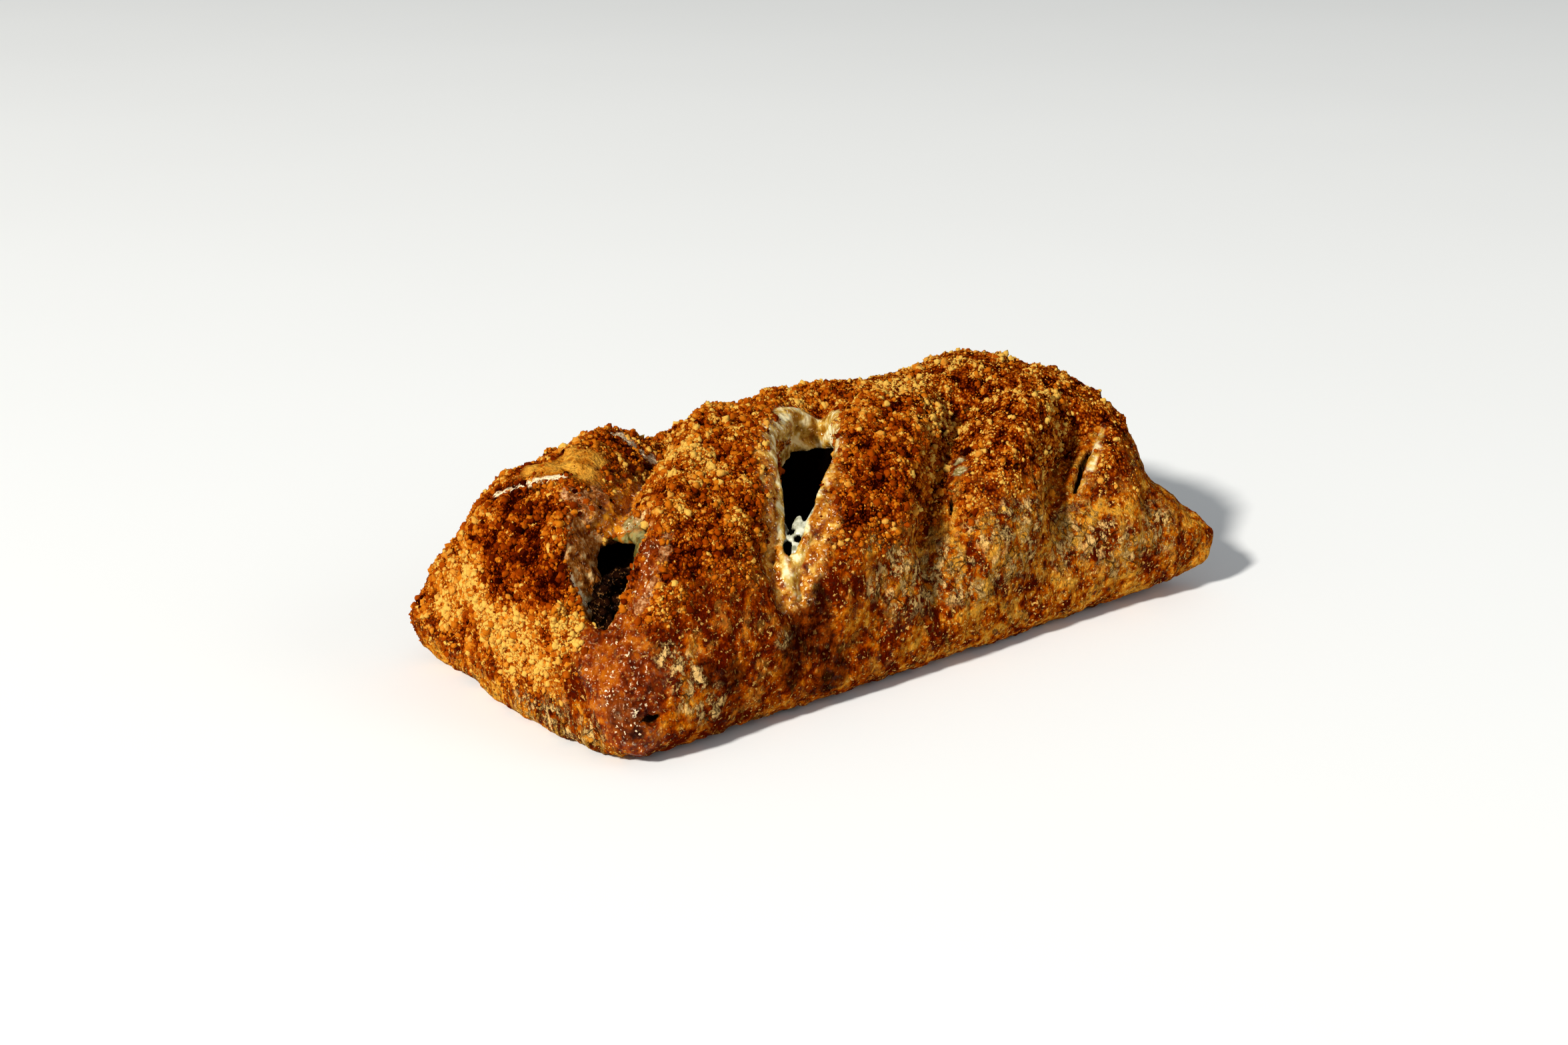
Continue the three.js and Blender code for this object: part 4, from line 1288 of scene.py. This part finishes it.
def strip_mesh():
    path, halves = [], []
    for along, off, drop, half in STRIP_RUN:
        x, y = plan(LEFT_SLASH.across + off, along)
        path.append((x, y, skin_height(x, y) - drop))
        halves.append(half)
    bm = uneven(tube(path, halves, sides=STRIP_SIDES), STRIP_UNEVEN, STRIP_PITCH, seed=31)
    points = places_of(bm)
    _, along = slash_frame(points[:, 0], points[:, 1])
    mesh = mesh_of(bm)
    keep_marks(mesh, {"browned": ramp(along, *STRIP_BROWNED), "melted": np.ones(len(points))})
    return mesh


WEB_FROM, WEB_TO, WEB_LOW, WEB_BITE = -60.5, -44, 1.2, 0.8
WEB_WAVE, WEB_WAVES, WEB_DRAWN_BACK = 0.12, 7, 0.2  # of its back edge, as shares of its length
WEB_UNEVEN, WEB_PITCH = 0.35, 2
WEB_GAPS = [(-53.5, -1.4, 2, 1.5), (-51.6, 1.2, 0.5, 0.9), (-49.6, -0.5, 0.55, 1.1)]  # along, off, half sizes


def web_mesh():
    """Cheese stretched over the front of the middle slash, with holes torn in it."""
    bm = bmesh.new()
    bmesh.ops.create_grid(bm, x_segments=WEB_CUTS[0], y_segments=WEB_CUTS[1], size=1)
    u, v = places_of(bm)[:, :2].T
    fringe = 1 + WEB_WAVE * np.sin(v * WEB_WAVES) - WEB_DRAWN_BACK * (1 - v * v)
    along = WEB_FROM + (u + 1) / 2 * (WEB_TO - WEB_FROM) * fringe
    off = v * (half_gape(MIDDLE_SLASH, along) + WEB_BITE)
    x, y = plan(MIDDLE_SLASH.across + off, along)
    level = np.array([skin_height(*spot) for spot in zip(x, y)]) - WEB_LOW
    reshape(bm, np.stack([x, y, level], 1))
    torn = [any(((a - p) / long) ** 2 + ((o - q) / wide) ** 2 < 1 for p, q, long, wide in WEB_GAPS)
            for a, o in zip(along, off)]
    bmesh.ops.delete(bm, geom=[v for v, gone in zip(bm.verts, torn) if gone], context="VERTS")
    bmesh.ops.solidify(bm, geom=bm.faces[:], thickness=WEB_THICKNESS)
    soften(bm)
    uneven(bm, WEB_UNEVEN, WEB_PITCH, seed=33)
    bmesh.ops.recalc_face_normals(bm, faces=bm.faces)
    mesh = mesh_of(bm)
    plain = np.zeros(len(mesh.vertices))
    keep_marks(mesh, {"browned": plain, "melted": plain})
    return mesh


# The camera, the light and the floor.
VIEW_TURN, VIEW_RISE = math.radians(-38.5), math.radians(20)
VIEW_AWAY, VIEW_RIGHT, VIEW_UP = 606.37, -10.08, 26.11
LENS, SENSOR, VIEW_CLIP = 52.04, 36, (0.01, 20)
FLOOR_HALF, FLOOR_CLOUD = 12, 300
Light = namedtuple("Light", "name place size power colour")
LIGHTS = [Light("key", (-4.2, -1, 2.9), 0.5, 380, (1, 0.96, 0.9)),
          Light("fill", (1.2, -2.2, 1.4), 1.6, 12, (0.95, 0.98, 1))]
STUDIO_COLOUR, STUDIO_STRENGTH = (0.93, 0.97, 1, 1), 0.3


def set_camera():
    data = bpy.data.cameras.new("view")
    data.lens, data.sensor_width = LENS, SENSOR
    data.clip_start, data.clip_end = VIEW_CLIP
    back = Vector((math.sin(VIEW_TURN) * math.cos(VIEW_RISE), -math.cos(VIEW_TURN) * math.cos(VIEW_RISE),
                   math.sin(VIEW_RISE)))
    right = Vector((math.cos(VIEW_TURN), math.sin(VIEW_TURN), 0))
    up = back.cross(right)
    camera = linked("view", data)
    camera.location = (back * VIEW_AWAY + right * VIEW_RIGHT + up * VIEW_UP + SHIFT) * MM
    camera.rotation_euler = Matrix((right, up, back)).transposed().to_euler()
    bpy.context.scene.camera = camera


def set_light(light):
    data = bpy.data.lights.new(light.name, "AREA")
    data.shape, data.size, data.energy, data.color = "DISK", light.size, light.power, light.colour
    lamp = linked(light.name, data)
    lamp.location = light.place
    lamp.rotation_euler = (-Vector(light.place)).to_track_quat("-Z", "Y").to_euler()


def set_floor():
    bm = bmesh.new()
    bmesh.ops.create_grid(bm, x_segments=1, y_segments=1, size=FLOOR_HALF)
    floor = linked("floor", mesh_of(bm))
    finish = Finish("pale_floor")
    colour = finish.mix(finish.cloud(FLOOR_CLOUD, 2), FLOOR_DARK, FLOOR_LIGHT)
    floor.data.materials.append(finish.done(finish.surface(Base_Color=colour, Roughness=0.7)))


def set_scene():
    set_camera()
    set_floor()
    for light in LIGHTS:
        set_light(light)
    world = bpy.data.worlds.new("studio")
    world.use_nodes = True
    background = world.node_tree.nodes["Background"]
    background.inputs["Color"].default_value = STUDIO_COLOUR
    background.inputs["Strength"].default_value = STUDIO_STRENGTH
    bpy.context.scene.world = world
    bpy.context.scene.view_settings.view_transform = "Standard"


def build():
    crust = crust_mesh()
    lay_crumbs(crust)
    piece("crust", crust, crust_finish(), ["pastry_case"])
    piece("filling_mince", filling_mesh(), filling_finish(), ["filling"])
    cheese = cheese_finish()
    piece("cheese_melt", strip_mesh(), cheese, ["cheese_strip"])
    piece("cheese_threads", web_mesh(), cheese, ["cheese_web"])
    set_scene()


build()
